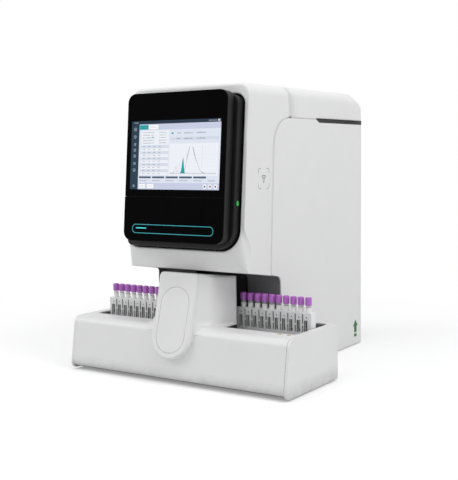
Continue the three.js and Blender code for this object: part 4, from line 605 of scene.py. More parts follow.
def screen_picture(paint):
    """Generic results screen: bars, tabs, a striped table and a chromatogram, with no words.

    s runs across and t up the lit area in millimetres, on the leaning plane. Each mark is a
    mask of 1 and 0 that lays its colour over what is there."""
    x, y, z = paint.part_axes()
    s = x + SCREEN_WIDE / 2.0
    t = (z - RIM_FOOT[2]) * math.cos(RIM_TILT) + (y - RIM_FOOT[1]) * math.sin(RIM_TILT) \
        - SCREEN_LOW
    slate, deep, teal = hue(49, 66, 82), hue(43, 58, 73), hue(31, 163, 160)
    card, white, lavender = hue(238, 240, 247), hue(250, 250, 252), hue(200, 206, 228)
    ink, line, faint = hue(70, 78, 92), hue(214, 220, 232), hue(196, 206, 216)
    picture = hue(222, 228, 240)

    def lay(mask, colour):
        nonlocal picture
        picture = paint.mix(mask, picture, colour)

    def box(colour, *places):
        for s0, s1, t0, t1 in places:
            lay(s.inside(s0, s1) * t.inside(t0, t1), colour)

    def spans(value, *ends):
        """1 within any of the spans."""
        return sum((value.inside(low, high) for low, high in ends[1:]), value.inside(*ends[0]))

    def band(value, middle, half):
        return abs(value - middle) < half

    def distance(s0, t0):
        return (s - s0) ** 2.0 + (t - t0) ** 2.0

    table = s.inside(31.0, 113.0) * t.inside(33.0, 104.0)
    lay(table, card)
    lay(table * ((t - 41.0) % 14.2 < 7.1), line)
    box(card, (31.0, 113.0, 106.0, 140.0), (116.0, 256.0, 33.0, 108.0))
    box(hue(212, 218, 232), (116.0, 256.0, 116.0, 123.0))
    grid = ((s - 120.0) % 9.0 < 0.35) + (t % 9.0 < 0.35)
    lay(grid * s.inside(120.0, 252.0) * t.inside(38.0, 104.0) * 0.5, line)

    scribble = paint.node("ShaderNodeTexNoise", {"noise_dimensions": "2D"},
                          {"Vector": paint.node("ShaderNodeCombineXYZ", None,
                                                {0: s * 1.9, 1: t / 3.55}),
                           "Scale": 1.0, "Detail": 2.0})
    words = scribble > 0.5
    columns = ((s - 36.0) % 15.5 < 7.5) * s.inside(35.0, 92.0)
    rows = ((t - 43.0) % 7.1).inside(1.6, 3.4) * t.inside(34.0, 104.0)
    lay(columns * rows * words * 0.85, ink)
    notes = ((t - 108.0) % 6.2).inside(1.6, 3.4) * t.inside(109.0, 138.0)
    lay(notes * spans(s, (35.0, 70.0), (84.0, 106.0)) * words * 0.8, ink)
    lay(spans(t, (118.0, 120.6), (131.0, 133.6))
        * spans(s, (137.0, 148.0), (157.0, 182.0), (193.0, 220.0)) * words * 0.8, ink)
    box(teal, (121.0, 127.0, 130.6, 134.2), (64.0, 67.5, 122.0, 125.5))

    def peak(height, centre, width):
        return paint.node("ShaderNodeMath", {"operation": "EXPONENT"},
                          {0: -(((s - centre) / width) ** 2.0)}) * height

    summit = peak(64.0, 178.0, 10.5)
    trace = peak(13.0, 137.0, 4.2) + peak(22.0, 147.0, 2.3) + summit \
        + peak(8.0, 168.0, 3.0) + peak(26.0, 193.0, 12.0)
    level = t - 38.5
    thick = summit * abs(s - 178.0) * 0.008 + 0.6
    lay(band(level, trace, thick) * s.inside(120.0, 222.0) * (level < 61.0) * 0.75, ink)
    lay((level < peak(36.0, 157.0, 3.6)) * (level > 0.0) * s.inside(149.5, 164.5), teal)
    lay(band(s, 211.0, 0.3) * level.inside(16.0, 64.0) * ((t % 3.0) < 1.8) * 0.6, ink)
    lay(t.inside(38.0, 38.7) * s.inside(120.0, 252.0), ink)

    foot = (s - 27.0) % 40.3
    lay(t.inside(26.5, 31.0) * (foot < 36.0) * s.inside(27.0, 228.0), hue(84, 98, 120))
    lay(t.inside(19.5, 22.6) * (foot < 24.0) * s.inside(27.0, 250.0) * words * 0.6, ink)

    box(lavender, (0.0, SCREEN_WIDE, 0.0, 15.5))
    box(white, (27.0, 47.0, 3.0, 12.8), (52.0, 72.0, 3.0, 12.8))
    lay(t.inside(7.0, 9.0) * spans(s, (29.0, 45.0), (57.0, 66.0)) * words * 0.7, ink)
    for centre in (221.0, 236.0, 251.0):
        lay(distance(centre, 7.8) < 27.0, white)
        lay(distance(centre, 7.8) < 5.5, slate)

    box(lavender, (0.0, SCREEN_WIDE, 141.5, 155.5))
    box(teal, (25.0, 51.0, 143.0, 153.5))
    box(white, (52.5, 81.0, 143.0, 153.5))
    lay(t.inside(147.0, 149.4) * spans(s, (35.0, 45.0), (57.0, 76.0)) * words * 0.7,
        hue(140, 150, 160))
    box(slate, (0.0, 22.5, 0.0, 155.5))
    box(deep, (22.5, 24.0, 0.0, 155.5), (0.0, SCREEN_WIDE, 155.5, SCREEN_TALL))
    for middle, wide in ((144.0, 3.6), (126.0, 3.2), (108.0, 2.6), (94.0, 3.0), (80.0, 3.2),
                         (62.0, 3.0), (46.0, 3.4), (8.0, 2.4)):
        far = distance(11.5, middle) ** 0.5
        lay((band(far, wide, 0.6) + (far < wide * 0.35)) * 0.8, hue(176, 190, 204))
    lay(t.inside(158.2, 160.6) * spans(s, (6.0, 20.0), (226.0, 250.0)) * words * 0.8, faint)
    box(faint, (252.0, 258.0, 157.0, 162.0))
    return paint.mix(s.inside(0.0, SCREEN_WIDE) * t.inside(0.0, SCREEN_TALL), grey(0.0), picture)


class ANALYSER_OT_display(bpy.types.Operator):
    """Make the display frame, screen head, gloss front and its lit picture"""
    bl_idname = "analyser.display"
    bl_label = "Display"

    def execute(self, context):
        finish = context.scene.analyser_finish
        satin = dict(grain=1100.0, depth=0.00004, cloud=0.12, edge=0.0008, gloss=0.25)
        profile = [(1.2, -8.7), (0.0, -7.5), *quarter(3.4, 6, 18.0), (9.0, 18.0)]
        object_of("display_frame_band",
                  slab((-157.0, 4.0), (157.0, 361.0), (48.0, 20.0, 20.0, 14.0), profile,
                       rim_place),
                  moulded("frame_band", shade(finish.band, 0.8), rough=0.38, **satin),
                  "black_plastic", node=("display_frame",))
        profile = [(1.5, 18.3), (0.0, 19.8), *quarter(1.6, 4, 43.3), (6.0, 43.3)]
        object_of("display_head_case",
                  slab((-HEAD_HALF, HEAD_LOW), (HEAD_HALF, HEAD_HIGH), (HEAD_ROUND,) * 4,
                       profile, rim_place),
                  moulded("head_band", finish.band, rough=0.42, **satin),
                  "black_plastic", node=("display_head", "lcd_module"))
        profile = [(0.5, 43.6), (0.3, 43.9), (0.3, 46.0), (0.5, 46.35), (0.9, 46.6), (5.0, 46.6)]
        object_of("front_sheet",
                  slab((-HEAD_HALF, GLASS_SPLIT + 0.3), (HEAD_HALF, HEAD_HIGH),
                       (0.8, HEAD_ROUND, HEAD_ROUND, 0.8), profile, rim_place),
                  black_gloss("front_sheet_gloss", screen_picture), "front_glass",
                  smooth=25.0, node=("display_glass",))
        dress(("lower_cover",), black_gloss("lower_cover_gloss"))
        glow = tuple(finish.light)
        dress(("light_guide",),
              clouded("light_guide_glow", shade(glow, 0.7), glow, 120.0,
                      socket="Emission Color", Roughness=0.35, Emission_Strength=0.5,
                      Base_Color=glow))
        profile = [(0.0, 46.55), (0.0, 46.68), (0.15, 46.8), (0.6, 46.85)]
        object_of("level_bar",
                  slab((-107.5, 46.0), (-76.0, 48.4), (1.15,) * 4, profile, rim_place,
                       side=3, arc=6),
                  clouded("level_bar_glow", (0.025, 0.40, 0.44, 1.0), (0.03, 0.48, 0.52, 1.0),
                          90.0, socket="Emission Color", Roughness=0.3, Emission_Strength=1.0,
                          Base_Color=(0.03, 0.4, 0.44, 1.0)), "teal_light")
        dress(("standby_button",),
              clouded("standby_glow", (0.015, 0.26, 0.05, 1.0), (0.03, 0.42, 0.09, 1.0), 300.0,
                      socket="Emission Color", Roughness=0.35, Emission_Strength=0.5,
                      Base_Color=(0.02, 0.34, 0.07, 1.0)))
        return {"FINISHED"}


# ---------------------------------------------------------------- tray and tongue

def bridge_front(height):
    """Depth of the bridge's front edge at a height."""
    return 16.0 + (height - HOOD_FOOT) * 34.0 / (HOOD_PEAK - HOOD_FOOT)


def tray_front(height):
    """Depth of the tray's leaning front with its round brow."""
    over = np.clip(height - (TRAY_HEIGHT - 16.5), 0.0, 16.5)
    return TRAY_LEAN * height / TRAY_HEIGHT + over * over / (2.0 * BROW_ROUND)


def up_tongue(height):
    """Place up the tongue's plane at a height."""
    return (height - TONGUE_FOOT[2]) / math.cos(TONGUE_TILT)


def tongue_skin():
    """Tongue cover as rings on its leaning plane: a wall that reaches back to the tray or
    the bridge, a quarter round, the face, and a groove round the inset panel."""
    low, high = (-TONGUE_HALF, up_tongue(60.6)), (TONGUE_HALF, up_tongue(260.0))
    radii, edge_round, groove_gap = (TONGUE_HALF, 9.0, 9.0, TONGUE_HALF), 5.0, 0.7

    def ring(inset):
        return rounded_loop(low, high, radii, inset, *TONGUE_PARTS)[0]

    outline, face = ring(0.0), ring(edge_round)
    groove_half = PANEL_HALF + groove_gap
    groove = rounded_loop((-groove_half, up_tongue(PANEL_LOW) - groove_gap),
                          (groove_half, up_tongue(PANEL_HIGH) + groove_gap),
                          (groove_half,) * 4, 0.0, *TONGUE_PARTS)[0]
    height = TONGUE_FOOT[2] + outline[:, 1] * math.cos(TONGUE_TILT)
    plane = TONGUE_FOOT[1] + (height - TONGUE_FOOT[2]) * TONGUE_SLOPE
    wall = bridge_front(height)
    wall = np.where(height < TRAY_HEIGHT, np.minimum(tray_front(height), wall), wall)
    reach = (wall - plane) * math.cos(TONGUE_TILT) + 1.2
    rows = [raised(outline, -reach), raised(outline, -6.0)]
    rows += [raised(ring(inset), rise) for inset, rise in quarter(edge_round, 7)]
    rows += [raised(face + (groove - face) * share, 0.0) for share in (0.35, 0.7, 0.97)]
    rows += [raised(groove, -0.35), raised(groove, -2.3)]
    return tongue_place(np.stack(rows))


def tray_joint_and_opening_shade(paint, tone):
    """Dark joint beside the right end cap, and painted shade on the walls down inside the rack
    openings.
    """
    x, y, z = paint.part_axes()
    tone = paint.mix(abs(x - 310.0) < 0.4, tone, grey(0.22))
    # Painted shade: the walls inside the rack openings are made near black where shade falls
    opening_shade = y.inside(83.5, 238.5) * (abs(x) < 295.5) * (z < 128.5)
    return paint.mix(opening_shade, tone, (0.02, 0.02, 0.021, 1.0))


class ANALYSER_OT_tray(bpy.types.Operator):
    """Make the leaning tongue and the bridge's hood, and finish the tray and end caps"""
    bl_idname = "analyser.tray"
    bl_label = "Tray and tongue"

    def execute(self, context):
        shape, finish = context.scene.analyser_shape, context.scene.analyser_finish
        # The tray's toe is darkened strongly by painted shade at its foot
        dress(("tray_shell", "tray_end_cap_left", "tray_end_cap_right"),
              moulded("shell_tray", finish.shell, edge=shape.edge, foot_grime_and_shade=1.1,
                      marks=tray_joint_and_opening_shade))
        plain = moulded("shell_tongue", finish.shell, edge=shape.edge * 0.6)
        object_of("tongue_skin", sheet(tongue_skin(), last_cap=True), plain, "white_shell",
                  node=("tongue_cover",))
        profile = [(0.3, -2.0), (0.0, -1.7), (0.0, -0.6), (0.18, -0.18), (0.6, 0.0), (4.0, 0.0)]
        object_of("tongue_panel",
                  slab((-PANEL_HALF, up_tongue(PANEL_LOW)), (PANEL_HALF, up_tongue(PANEL_HIGH)),
                       (PANEL_HALF,) * 4, profile, tongue_place, *TONGUE_PARTS),
                  plain, "white_shell", node=("tongue_inset",))
        # The hood carries the same painted shade down inside the rack openings
        hood = object_of("bridge_hood",
                         sheet(hood_skin(shape.flare / MM), closed=False, flip=True),
                         moulded("shell_hood", finish.shell, edge=shape.edge,
                                 marks=tray_joint_and_opening_shade), "white_shell", smooth=40.0)
        reworked(hood, seam=SEAM_GAP)
        solid_wall(hood, 0.0006)
        return {"FINISHED"}


# ---------------------------------------------------------------- bridge hood

def hood_edges(height):
    """Depth of the bridge's front edge, and half width and depth of its shoulder."""
    rise = (height - HOOD_FOOT) / (HOOD_CROWN - HOOD_FOOT)
    return bridge_front(height), 84.0 - 8.0 * rise, 45.0 + 24.0 * rise


def hull_planes(points):
    """Outer planes of a convex form: of the planes through any three corners, those that
    have every other corner on one side."""
    picks = np.array(list(itertools.combinations(range(len(points)), 3)))
    a, b, c = points[picks[:, 0]], points[picks[:, 1]], points[picks[:, 2]]
    normal = np.cross(b - a, c - a)
    size = np.linalg.norm(normal, axis=1)
    normal, a = normal[size > 1e-6] / size[size > 1e-6, None], a[size > 1e-6]
    past = np.einsum("pk,nk->np", points, normal) - np.sum(normal * a, axis=1)[:, None]
    normal = np.where((past.max(axis=1) > 1e-4)[:, None], -normal, normal)
    outer = (past.max(axis=1) < 1e-4) | (past.min(axis=1) > -1e-4)
    planes = np.column_stack((normal[outer], np.sum(normal[outer] * a[outer], axis=1)))
    return np.unique(np.round(planes, 4), axis=0)


def tray_distance(p):
    """Distance outside the tray's round brow: from its centre within the quarter between
    the leaning front and the top, else from the nearer of those planes. Past the lip of the
    rack openings the tray ends."""
    lean = math.atan(TRAY_LEAN / TRAY_HEIGHT)
    centre = TRAY_LEAN * BROW_HEIGHT / TRAY_HEIGHT + BROW_ROUND / math.cos(lean)
    y, z = p[..., 1] - centre, p[..., 2] - BROW_HEIGHT
    turn = np.arctan2(z, -y)
    front = -y * math.cos(lean) + z * math.sin(lean) - BROW_ROUND
    brow = np.where(turn > math.pi / 2, z - BROW_ROUND,
                    np.where(turn > lean, np.hypot(y, z) - BROW_ROUND, front))
    return np.maximum(brow, p[..., 1] - TRAY_LIP)


def hood_distance(p, planes, flare):
    """Distance outside the bridge and tray joined by a concave round.

    The bridge is the soft maximum of its planes. With u and v the shortfalls of both
    distances below the round's radius, the joined distance is max(r, min(a, b)) - |(u, v)|."""
    sharpness = 1.1
    each = p @ planes[:, :3].T - planes[:, 3]
    most = each.max(axis=-1)
    bridge = most + np.log(np.exp((each - most[..., None]) * sharpness).sum(axis=-1)) / sharpness
    tray = tray_distance(p)
    r = 2.0 + flare * (1.0 - smoothstep(p[..., 1], 52.0, 84.0)) \
        * (0.35 + 0.65 * smoothstep(p[..., 1], 12.0, 34.0))
    u, v = np.maximum(r - bridge, 0.0), np.maximum(r - tray, 0.0)
    return np.maximum(r, np.minimum(bridge, tray)) - np.hypot(u, v)


def hood_section(s, end, height):
    """Half width and depth at a height, for s from the front edge (0) past the shoulder
    (HOOD_BEND) to the tail (1)."""
    front, wide, deep = hood_edges(height)
    k = np.clip(s / HOOD_BEND, 0.0, 1.0)
    m = np.clip((s - HOOD_BEND) / (1.0 - HOOD_BEND), 0.0, 1.0)
    x = TONGUE_HALF + np.minimum(s, 0.0) * 60.0 + (wide - TONGUE_HALF) * k \
        + (HOOD_TAIL - wide) * m
    return x, front + (deep - front) * k + (end - deep) * m


def hood_rows(s, side, end):
    """Rows of the hood before they settle, and the level at which each is to stand: from out
    on the tray, up the walls and in over the top to the middle."""
    brow_front, brow_middle = 17.8, 35.8
    x0, y0 = hood_section(s, end, TRAY_HEIGHT)
    reach = smoothstep(s, 0.0, 0.12) * 14.0 + 12.0
    spread = smoothstep(s, -0.02, 0.04) * (1.0 - smoothstep(y0, 66.0, 84.0))
    turn = np.radians(-78.0 + 70.0 * smoothstep(s, 0.0, 0.5))
    rows, levels = [], []
    for out in np.linspace(1.0, 0.0, 13)[:-1]:
        x = x0 + np.cos(turn) * reach * out * spread
        y = y0 + np.sin(turn) * reach * out * spread
        over = np.clip(brow_middle - np.maximum(y, brow_front), 0.0, BROW_ROUND - 0.1)
        z = BROW_HEIGHT + np.sqrt(BROW_ROUND ** 2 - over * over) + 3.0 * (1.0 - out)
        z = np.where(spread > 0.02, z, TRAY_HEIGHT) - (1.0 - spread) * 34.0 * out
        y = np.where(spread > 0.02, np.maximum(y, brow_front), y)
        rows.append((x * side, y, z))
        levels.append(HOOD_PROUD - 1.6 * smoothstep(out, 0.5, 1.0))
    top = np.where(s < HOOD_BEND, HOOD_PEAK - (HOOD_PEAK - HOOD_CROWN)
                   * np.clip(s / HOOD_BEND, 0.0, 1.0), HOOD_CROWN)
    for rise in np.linspace(0.0, 1.0, 30):
        z = TRAY_HEIGHT + (top - TRAY_HEIGHT) * rise
        x, y = hood_section(s, end, z)
        rows.append((x * side, y, z))
    x, y = hood_section(s, end, top)
    middle = (y + y[::-1]) / 2.0
    for inward in (0.012, 0.03, 0.06, 0.12, 0.25, 0.45, 0.7, 1.0):
        rows.append((x * side * (1.0 - inward), y + (middle - y) * inward, top))
    levels += [HOOD_PROUD] * (len(rows) - len(levels))
    return np.stack([np.stack(row, axis=-1) for row in rows]), np.array(levels)[:, None]


def hood_skin(flare):
    """Bridge hood from the left tail round the front to the right tail.

    Columns run along the section. Every point slides down the gradient of the joined
    distance until it stands a little proud of the moulding."""
    half = np.concatenate(((-0.2, -0.1), np.linspace(0.0, HOOD_BEND, 20)[:-1],
                           np.linspace(HOOD_BEND, 1.0, 24)))
    s = np.concatenate((half[::-1], half))
    side = np.repeat((-1.0, 1.0), len(half))
    p, level = hood_rows(s, side, np.where(side > 0.0, HOOD_ENDS[1.0], HOOD_ENDS[-1.0]))
    corners = []
    for turned, tail in HOOD_ENDS.items():
        for height, front_height in ((HOOD_FOOT, HOOD_FOOT), (HOOD_CROWN, HOOD_PEAK)):
            _, wide, deep = hood_edges(height)
            corners += [(turned * TONGUE_HALF, bridge_front(front_height), front_height),
                        (turned * wide, deep, height), (turned * HOOD_TAIL, tail, height)]
    planes = hull_planes(np.array(corners))
    seam_x = p[-1, :, 0].copy()
    step = np.eye(3) * 0.05
    for _ in range(14):
        here = hood_distance(p, planes, flare)
        slope = np.stack([hood_distance(p + move, planes, flare)
                          - hood_distance(p - move, planes, flare) for move in step],
                         axis=-1) / 0.1
        size = np.maximum(np.sum(slope * slope, axis=-1), 0.2)
        p = p - ((here - level) / size)[..., None] * slope
        p[-1, :, 0] = seam_x
    return p


# ---------------------------------------------------------------- racks and tubes

def across_tube(x):
    """Distance across from the nearest tube's middle, taken from the pitch. The left rack's
    tubes stand 1.6 mm off the right one's pitch."""
    return (x + 8010.8 - (x < 0.0) * 1.6) % TUBE_PITCH - TUBE_PITCH / 2.0


def rack_dots_and_painted_shade(paint, tone):
    """Painted shade in the slots between the rack's windows, a dot above each window and painted
    shade along the left edge of its opening, on the rack's front face."""
    x, y, h = paint.part_axes()
    behind = y - 162.0 + (x < 0.0) * 34.0
    on_face = behind.inside(-0.3, 0.3)
    c = across_tube(x)
    dot = ((c * c + (h - 156.6) ** 2.0) < 1.9) * on_face
    slot = (abs(c) > 8.3) * behind.inside(0.4, 2.6) * (h.inside(120.5, 137.0)
                                                       + h.inside(141.0, 164.0))
    # Painted shade on the backs of the slots between the windows
    tone = paint.mix(slot, tone, (0.15, 0.15, 0.152, 1.0))
    # Painted shade: a black strip on the face along each window's left edge darkens the opening
    edge = c.inside(-5.6, -3.2) * h.inside(120.5, 149.5) * on_face
    return paint.mix(dot + edge, tone, (0.01, 0.01, 0.011, 1.0))


def label_marks(paint, tone):
    """Paper label with bars, open on each tube's left to a dark strip of the sample."""
    x, _, h = paint.part_axes()
    c = across_tube(x)
    bars = ((h * 0.9) % 2.6 < 1.1) * c.inside(1.0, 4.6) * h.inside(133.0, 168.0)
    tone = paint.mix(bars * 0.35, tone, grey(0.05))
    return paint.mix((c < -0.9) * h.inside(128.0, 163.0), tone, (0.012, 0.006, 0.007, 1.0))


def lathe(profile, centres, turns, ribs=0, rib_depth=0.0, rib_rows=()):
    """Turned forms at many centres: radius follows the profile, and on the ribbed rows it
    swings with the cosine of ribs times the angle. Poles are closed by tiny end rings."""
    profile = np.asarray(profile, float)
    angle = np.linspace(0.0, 2.0 * math.pi, turns, endpoint=False)
    swing = np.zeros(len(profile))
    swing[list(rib_rows)] = rib_depth
    radius = profile[:, :1] + swing[:, None] * (np.cos(ribs * angle) - 1.0) * 0.5
    form = np.stack((radius * np.cos(angle), radius * np.sin(angle),
                     np.broadcast_to(profile[:, 1:], radius.shape)), axis=-1)
    return gathered(closed_form(form + np.asarray(centre)) for centre in centres)


class ANALYSER_OT_racks(bpy.types.Operator):
    """Make the capped tubes and finish the two sample racks"""
    bl_idname = "analyser.racks"
    bl_label = "Racks and tubes"

    def execute(self, context):
        finish = context.scene.analyser_finish
        # The rack finish paints shade into its slots and along its windows
        dress(("right_rack", "left_rack"),
              moulded("rack_moulding", finish.rack, rough=0.34, grain=1600.0, cloud=0.05,
                      edge=0.0005, gloss=0.25, marks=rack_dots_and_painted_shade))
        cap = moulded("cap_moulding", finish.cap, rough=0.42, grain=2200.0, cloud=0.12,
                      edge=0.0004)
        paper = moulded("tube_label_paper", (0.86, 0.86, 0.84), rough=0.6, grain=2600.0,
                        depth=0.00002, cloud=0.05, edge=0.0003, marks=label_marks)
        glass = clouded("tube_wall", (0.55, 0.55, 0.56, 1.0), (0.68, 0.68, 0.69, 1.0), 60.0,
                        Roughness=0.06, Alpha=0.3)
        blood = clouded("sample", (0.07, 0.004, 0.005, 1.0), (0.13, 0.008, 0.009, 1.0), 40.0,
                        3.0, Roughness=0.2)
        wall = [(0.05, 122.8), (3.4, 123.6), (5.4, 125.4), (6.3, 128.0), (6.45, 131.0),
                (6.45, 187.0), (5.6, 187.0), (5.6, 131.0), (3.0, 126.0), (0.05, 125.4)]
        fill = [(0.05, 125.6), (3.0, 126.4), (5.2, 129.0), (5.5, 132.0), (5.5, 158.0),
                (5.0, 158.2), (0.05, 158.0)]
        band = [(6.46, 128.5), (6.56, 128.5), (6.56, 179.0), (6.46, 179.0)]
        ribbed = [(5.0, 184.3), (7.2, 184.3), (7.6, 184.9), (7.75, 185.6), (7.75, 200.4),
                  (7.5, 201.6), (6.9, 202.5), (6.0, 202.8), (4.9, 202.6), (4.5, 202.0),
                  (0.05, 201.9)]
        for side, (first, depth) in RACK_FIRST.items():
            centres = [(first + TUBE_PITCH * index, depth, 0.0) for index in range(10)]
            for name, form, material in (("tube_walls", lathe(wall, centres, 24), glass),
                                         ("samples", lathe(fill, centres, 20), blood),
                                         ("tube_labels", lathe(band, centres, 32), paper)):
                object_of(f"{side}_{name}", form, material, "tube_cap", "rack_" + side)
            object_of(f"{side}_caps", lathe(ribbed, centres, 96, 24, 0.42, (3, 4)), cap,
                      "tube_cap", "rack_" + side, smooth=50.0,
                      node=[f"tube_{side[0]}{index + 1}" for index in range(10)])
        return {"FINISHED"}


# ---------------------------------------------------------------- printed marks

def ribbons(paths, width, place):
    """Thin raised strips of ink along flat paths: each point is moved half a width to either
    side of the path's own direction."""
    forms = []
    for path in paths:
        along = np.gradient(path, axis=0)
        along /= np.linalg.norm(along, axis=1)[:, None]
        across = np.stack((-along[:, 1], along[:, 0]), axis=-1) * width / 2.0
        right, left = path - across, path + across
        ring = (raised(right, 0.0), raised(left, 0.0), raised(left, INK), raised(right, INK))
        forms.append(closed_form(place(np.stack(ring, axis=1))))
    return gathered(forms)


def plates(outlines, place, rise):
    """Raised plates, each closed outline carried straight up."""
    return gathered(closed_form(place(np.stack((raised(outline, 0.0), raised(outline, rise)))))
                    for outline in outlines)


def closed_object(*made):
    """An object_of whose faces are then turned outwards."""
    reworked(object_of(*made))


def right_side(flat):
    """(depth, height, out) put on the right side of the housing."""
    return np.stack((BODY_HALF - 0.02 + flat[..., 2], flat[..., 0], flat[..., 1]), axis=-1)


def tray_top(flat):
    """(x, depth, out) put on the top of the tray."""
    return flat + np.array((0.0, 0.0, TRAY_HEIGHT - 0.02))


def left_edge(flat):
    """(depth, height, inward) put at the left edge of the recess under the head."""
    return np.stack((flat[..., 2] - 173.9, flat[..., 0], flat[..., 1]), axis=-1)


def slot_place(flat):
    """(x, depth, height over the slot's floor) inside the finger slot."""
    return flat + np.array((0.0, 0.0, 618.0))


def arc_path(centre, radius, start, end, steps=16):
    """Points centre + radius (cos a, sin a) from one angle to another, in degrees."""
    angle = np.radians(np.linspace(start, end, steps))
    return np.asarray(centre) + radius * np.stack((np.cos(angle), np.sin(angle)), axis=-1)


def reader_frame(middle, half, reach, bend):
    """Four corners round the reader mark: in each, a straight reach, an arc and a reach."""
    corners = []
    for turn, (side, up) in zip((180.0, 270.0, 0.0, 90.0), ((-1, -1), (1, -1), (1, 1), (-1, 1))):
        sign = np.array((side, up), float)
        tip = middle + sign * half
        ends = [tip - sign * (reach, 0.0), tip - sign * (0.0, reach)]
        arc = arc_path(tip - sign * bend, bend, turn, turn + 90.0, 8)
        if side == up:
            ends.reverse()
        corners.append(np.concatenate((ends[:1], arc, ends[1:])))
    return corners


class ANALYSER_OT_marks(bpy.types.Operator):
    """Print the plain reader mark, the side arrow and the two lip marks"""
    bl_idname = "analyser.marks"
    bl_label = "Printed marks"

    def execute(self, context):
        faint, dark, green, amber = (
            moulded(name, colour, rough=0.5, edge=0.0002) for name, colour in (
                ("reader_frame_ink", (0.27, 0.275, 0.28)), ("reader_ink", (0.16, 0.165, 0.17)),
                ("arrow_ink", (0.008, 0.13, 0.022)), ("lip_ink", (0.42, 0.33, 0.01))))
        frame_middle, waves_foot = np.array((149.0, 480.5)), (149.0, 473.0)
        corners = reader_frame(frame_middle, np.array((24.0, 23.5)), 12.0, 5.0)
        closed_object("reader_corners", ribbons(corners, 1.3, right_side), faint, "white_shell")
        waves = [arc_path(waves_foot, radius, 48.0, 132.0) for radius in (6.0, 10.5, 15.0)]
        closed_object("reader_waves", ribbons(waves, 2.0, right_side), dark, "white_shell")
        dot = arc_path(waves_foot, 2.4, 0.0, 345.0, 24)
        closed_object("reader_dot", plates([dot], right_side, INK), dark, "white_shell")
        arrow = [np.array(((640.0, 68.0), (625.0, 50.0), (632.0, 50.0), (632.0, 32.3),
                           (648.0, 32.3), (648.0, 50.0), (655.0, 50.0))),
                 np.array(((632.0, 28.5), (632.0, 20.0), (648.0, 20.0), (648.0, 28.5)))]
        closed_object("side_arrow", plates(arrow, right_side, INK), green, "green_button",
                      "door")
        lips = [np.array(((a, 68.0), (b, 68.0), (b, 76.0), (a, 76.0)))
                for a, b in ((254.0, 265.0), (279.0, 289.0))]
        closed_object("lip_marks", plates(lips, tray_top, INK), amber, "white_shell")
        return {"FINISHED"}


# ---------------------------------------------------------------- roof

def roof_skin(rear_round):
    """Roof cover from its front seam to the rear and down it.

    A point p of the plain box goes to q + r n: q is the nearest point of the box shrunk by
    three radii r, and n is (p - q) / r at length one. Across and along, the radii shrink to
    the rear panel's own at the foot of the cover, and upwards they grow to the rear."""
    climb = np.linspace(0.0, 1.0, 19)
    shoulder = BODY_HALF - np.linspace(0.0, 30.0, 11)[1:]
    top = np.concatenate((-shoulder, np.linspace(-130.0, 130.0, 9), shoulder[::-1]))
    x = np.concatenate((np.full(19, -BODY_HALF), top, np.full(19, BODY_HALF)))
    share = np.concatenate((climb, np.ones(len(top)), climb[::-1]))
    along = np.concatenate((np.linspace(0.0, 0.31, 4), (0.319, 0.3278), np.linspace(0.4, 0.7, 5),
                            np.linspace(0.72, 1.0, 24)))[:, None]
    seam_foot = roof_seam(DOOR_TOP) + 0.3
    depth = seam_foot + (ROOF_REAR - seam_foot) * along
    foot = ROOF_LOW + SLOT_STEP * np.clip((depth - 409.0) / 3.5, 0.0, 1.0) * (x > BODY_HALF - 1.0)
    z = foot + (ROOF_TOP - foot) * share
    seam = roof_seam(z) + 0.3
    box = np.stack((np.broadcast_to(x, z.shape), seam + (ROOF_REAR - seam) * along, z), axis=-1)
    inward = np.concatenate((np.linspace(0.0, 0.3, 13), np.linspace(0.37, 1.0, 10)))[1:]
    middle = np.array((0.0, ROOF_REAR, ROOF_LOW))
    rear = middle + (box[-1] - middle) * (1.0 - inward)[:, None, None]
    p = np.concatenate((box, rear))

    panel_round, back_round = 7.0, rear_round * 1.24
    to_rear = smoothstep(p[..., 1], 560.0, 640.0)
    low = 1.0 - smoothstep(p[..., 2], 655.0, ROOF_HEIGHT)
    radii = np.stack((ROOF_EDGE_ROUND - (ROOF_EDGE_ROUND - panel_round) * low * to_rear,
                      back_round - (back_round - panel_round) * low,
                      ROOF_EDGE_ROUND + (rear_round - ROOF_EDGE_ROUND) * to_rear), axis=-1)
    right_half = np.concatenate((np.abs(p[..., :1]), p[..., 1:]), axis=-1)
    core = np.minimum(right_half, np.array((BODY_HALF, ROOF_REAR, ROOF_TOP)) - radii)
    away = (right_half - core) / radii
    q = core + radii * away / np.maximum(np.linalg.norm(away, axis=-1, keepdims=True), 1e-9)
    q[..., 0] *= np.sign(p[..., 0])
    return q


def slot_shade(paint, tone):
    """Painted shade at the end of the finger slot, where it runs out over the corner of the rear
    panel.
    """
    x, _, z = paint.part_axes()
    return paint.mix((x > 150.2) * (z > 617.0), tone, shade(SLOT_PAINTED_SHADE))


class ANALYSER_OT_roof(bpy.types.Operator):
    """Make the rounded roof cover and a dark lining of painted shade in the finger slot"""
    bl_idname = "analyser.roof"
    bl_label = "Roof and finger slot"

    def execute(self, context):
        shape, finish = context.scene.analyser_shape, context.scene.analyser_finish
        roof = object_of("roof_skin", sheet(roof_skin(shape.roof_round / MM), closed=False),
                         moulded("shell_roof", finish.shell, edge=shape.edge), "white_shell",
                         smooth=40.0, node=("top_cover",))
        reworked(roof, seam=SEAM_GAP)
        solid_wall(roof, SHELL_WALL)
        # A dark plate in the finger slot stands for its shade: painted shade
        outline = np.array(((150.6, 412.0), (165.0, 412.0), (165.0, 640.0), (173.4, 652.0),
                            (173.4, 678.7), (150.6, 678.7)))
        closed_object("slot_lining", plates([outline], slot_place, 9.9),
                      moulded("slot_shade_moulding", SLOT_PAINTED_SHADE, rough=0.5, cloud=0.15, edge=0.0006),
                      "dark_liner")
        return {"FINISHED"}


# ---------------------------------------------------------------- housing and inside

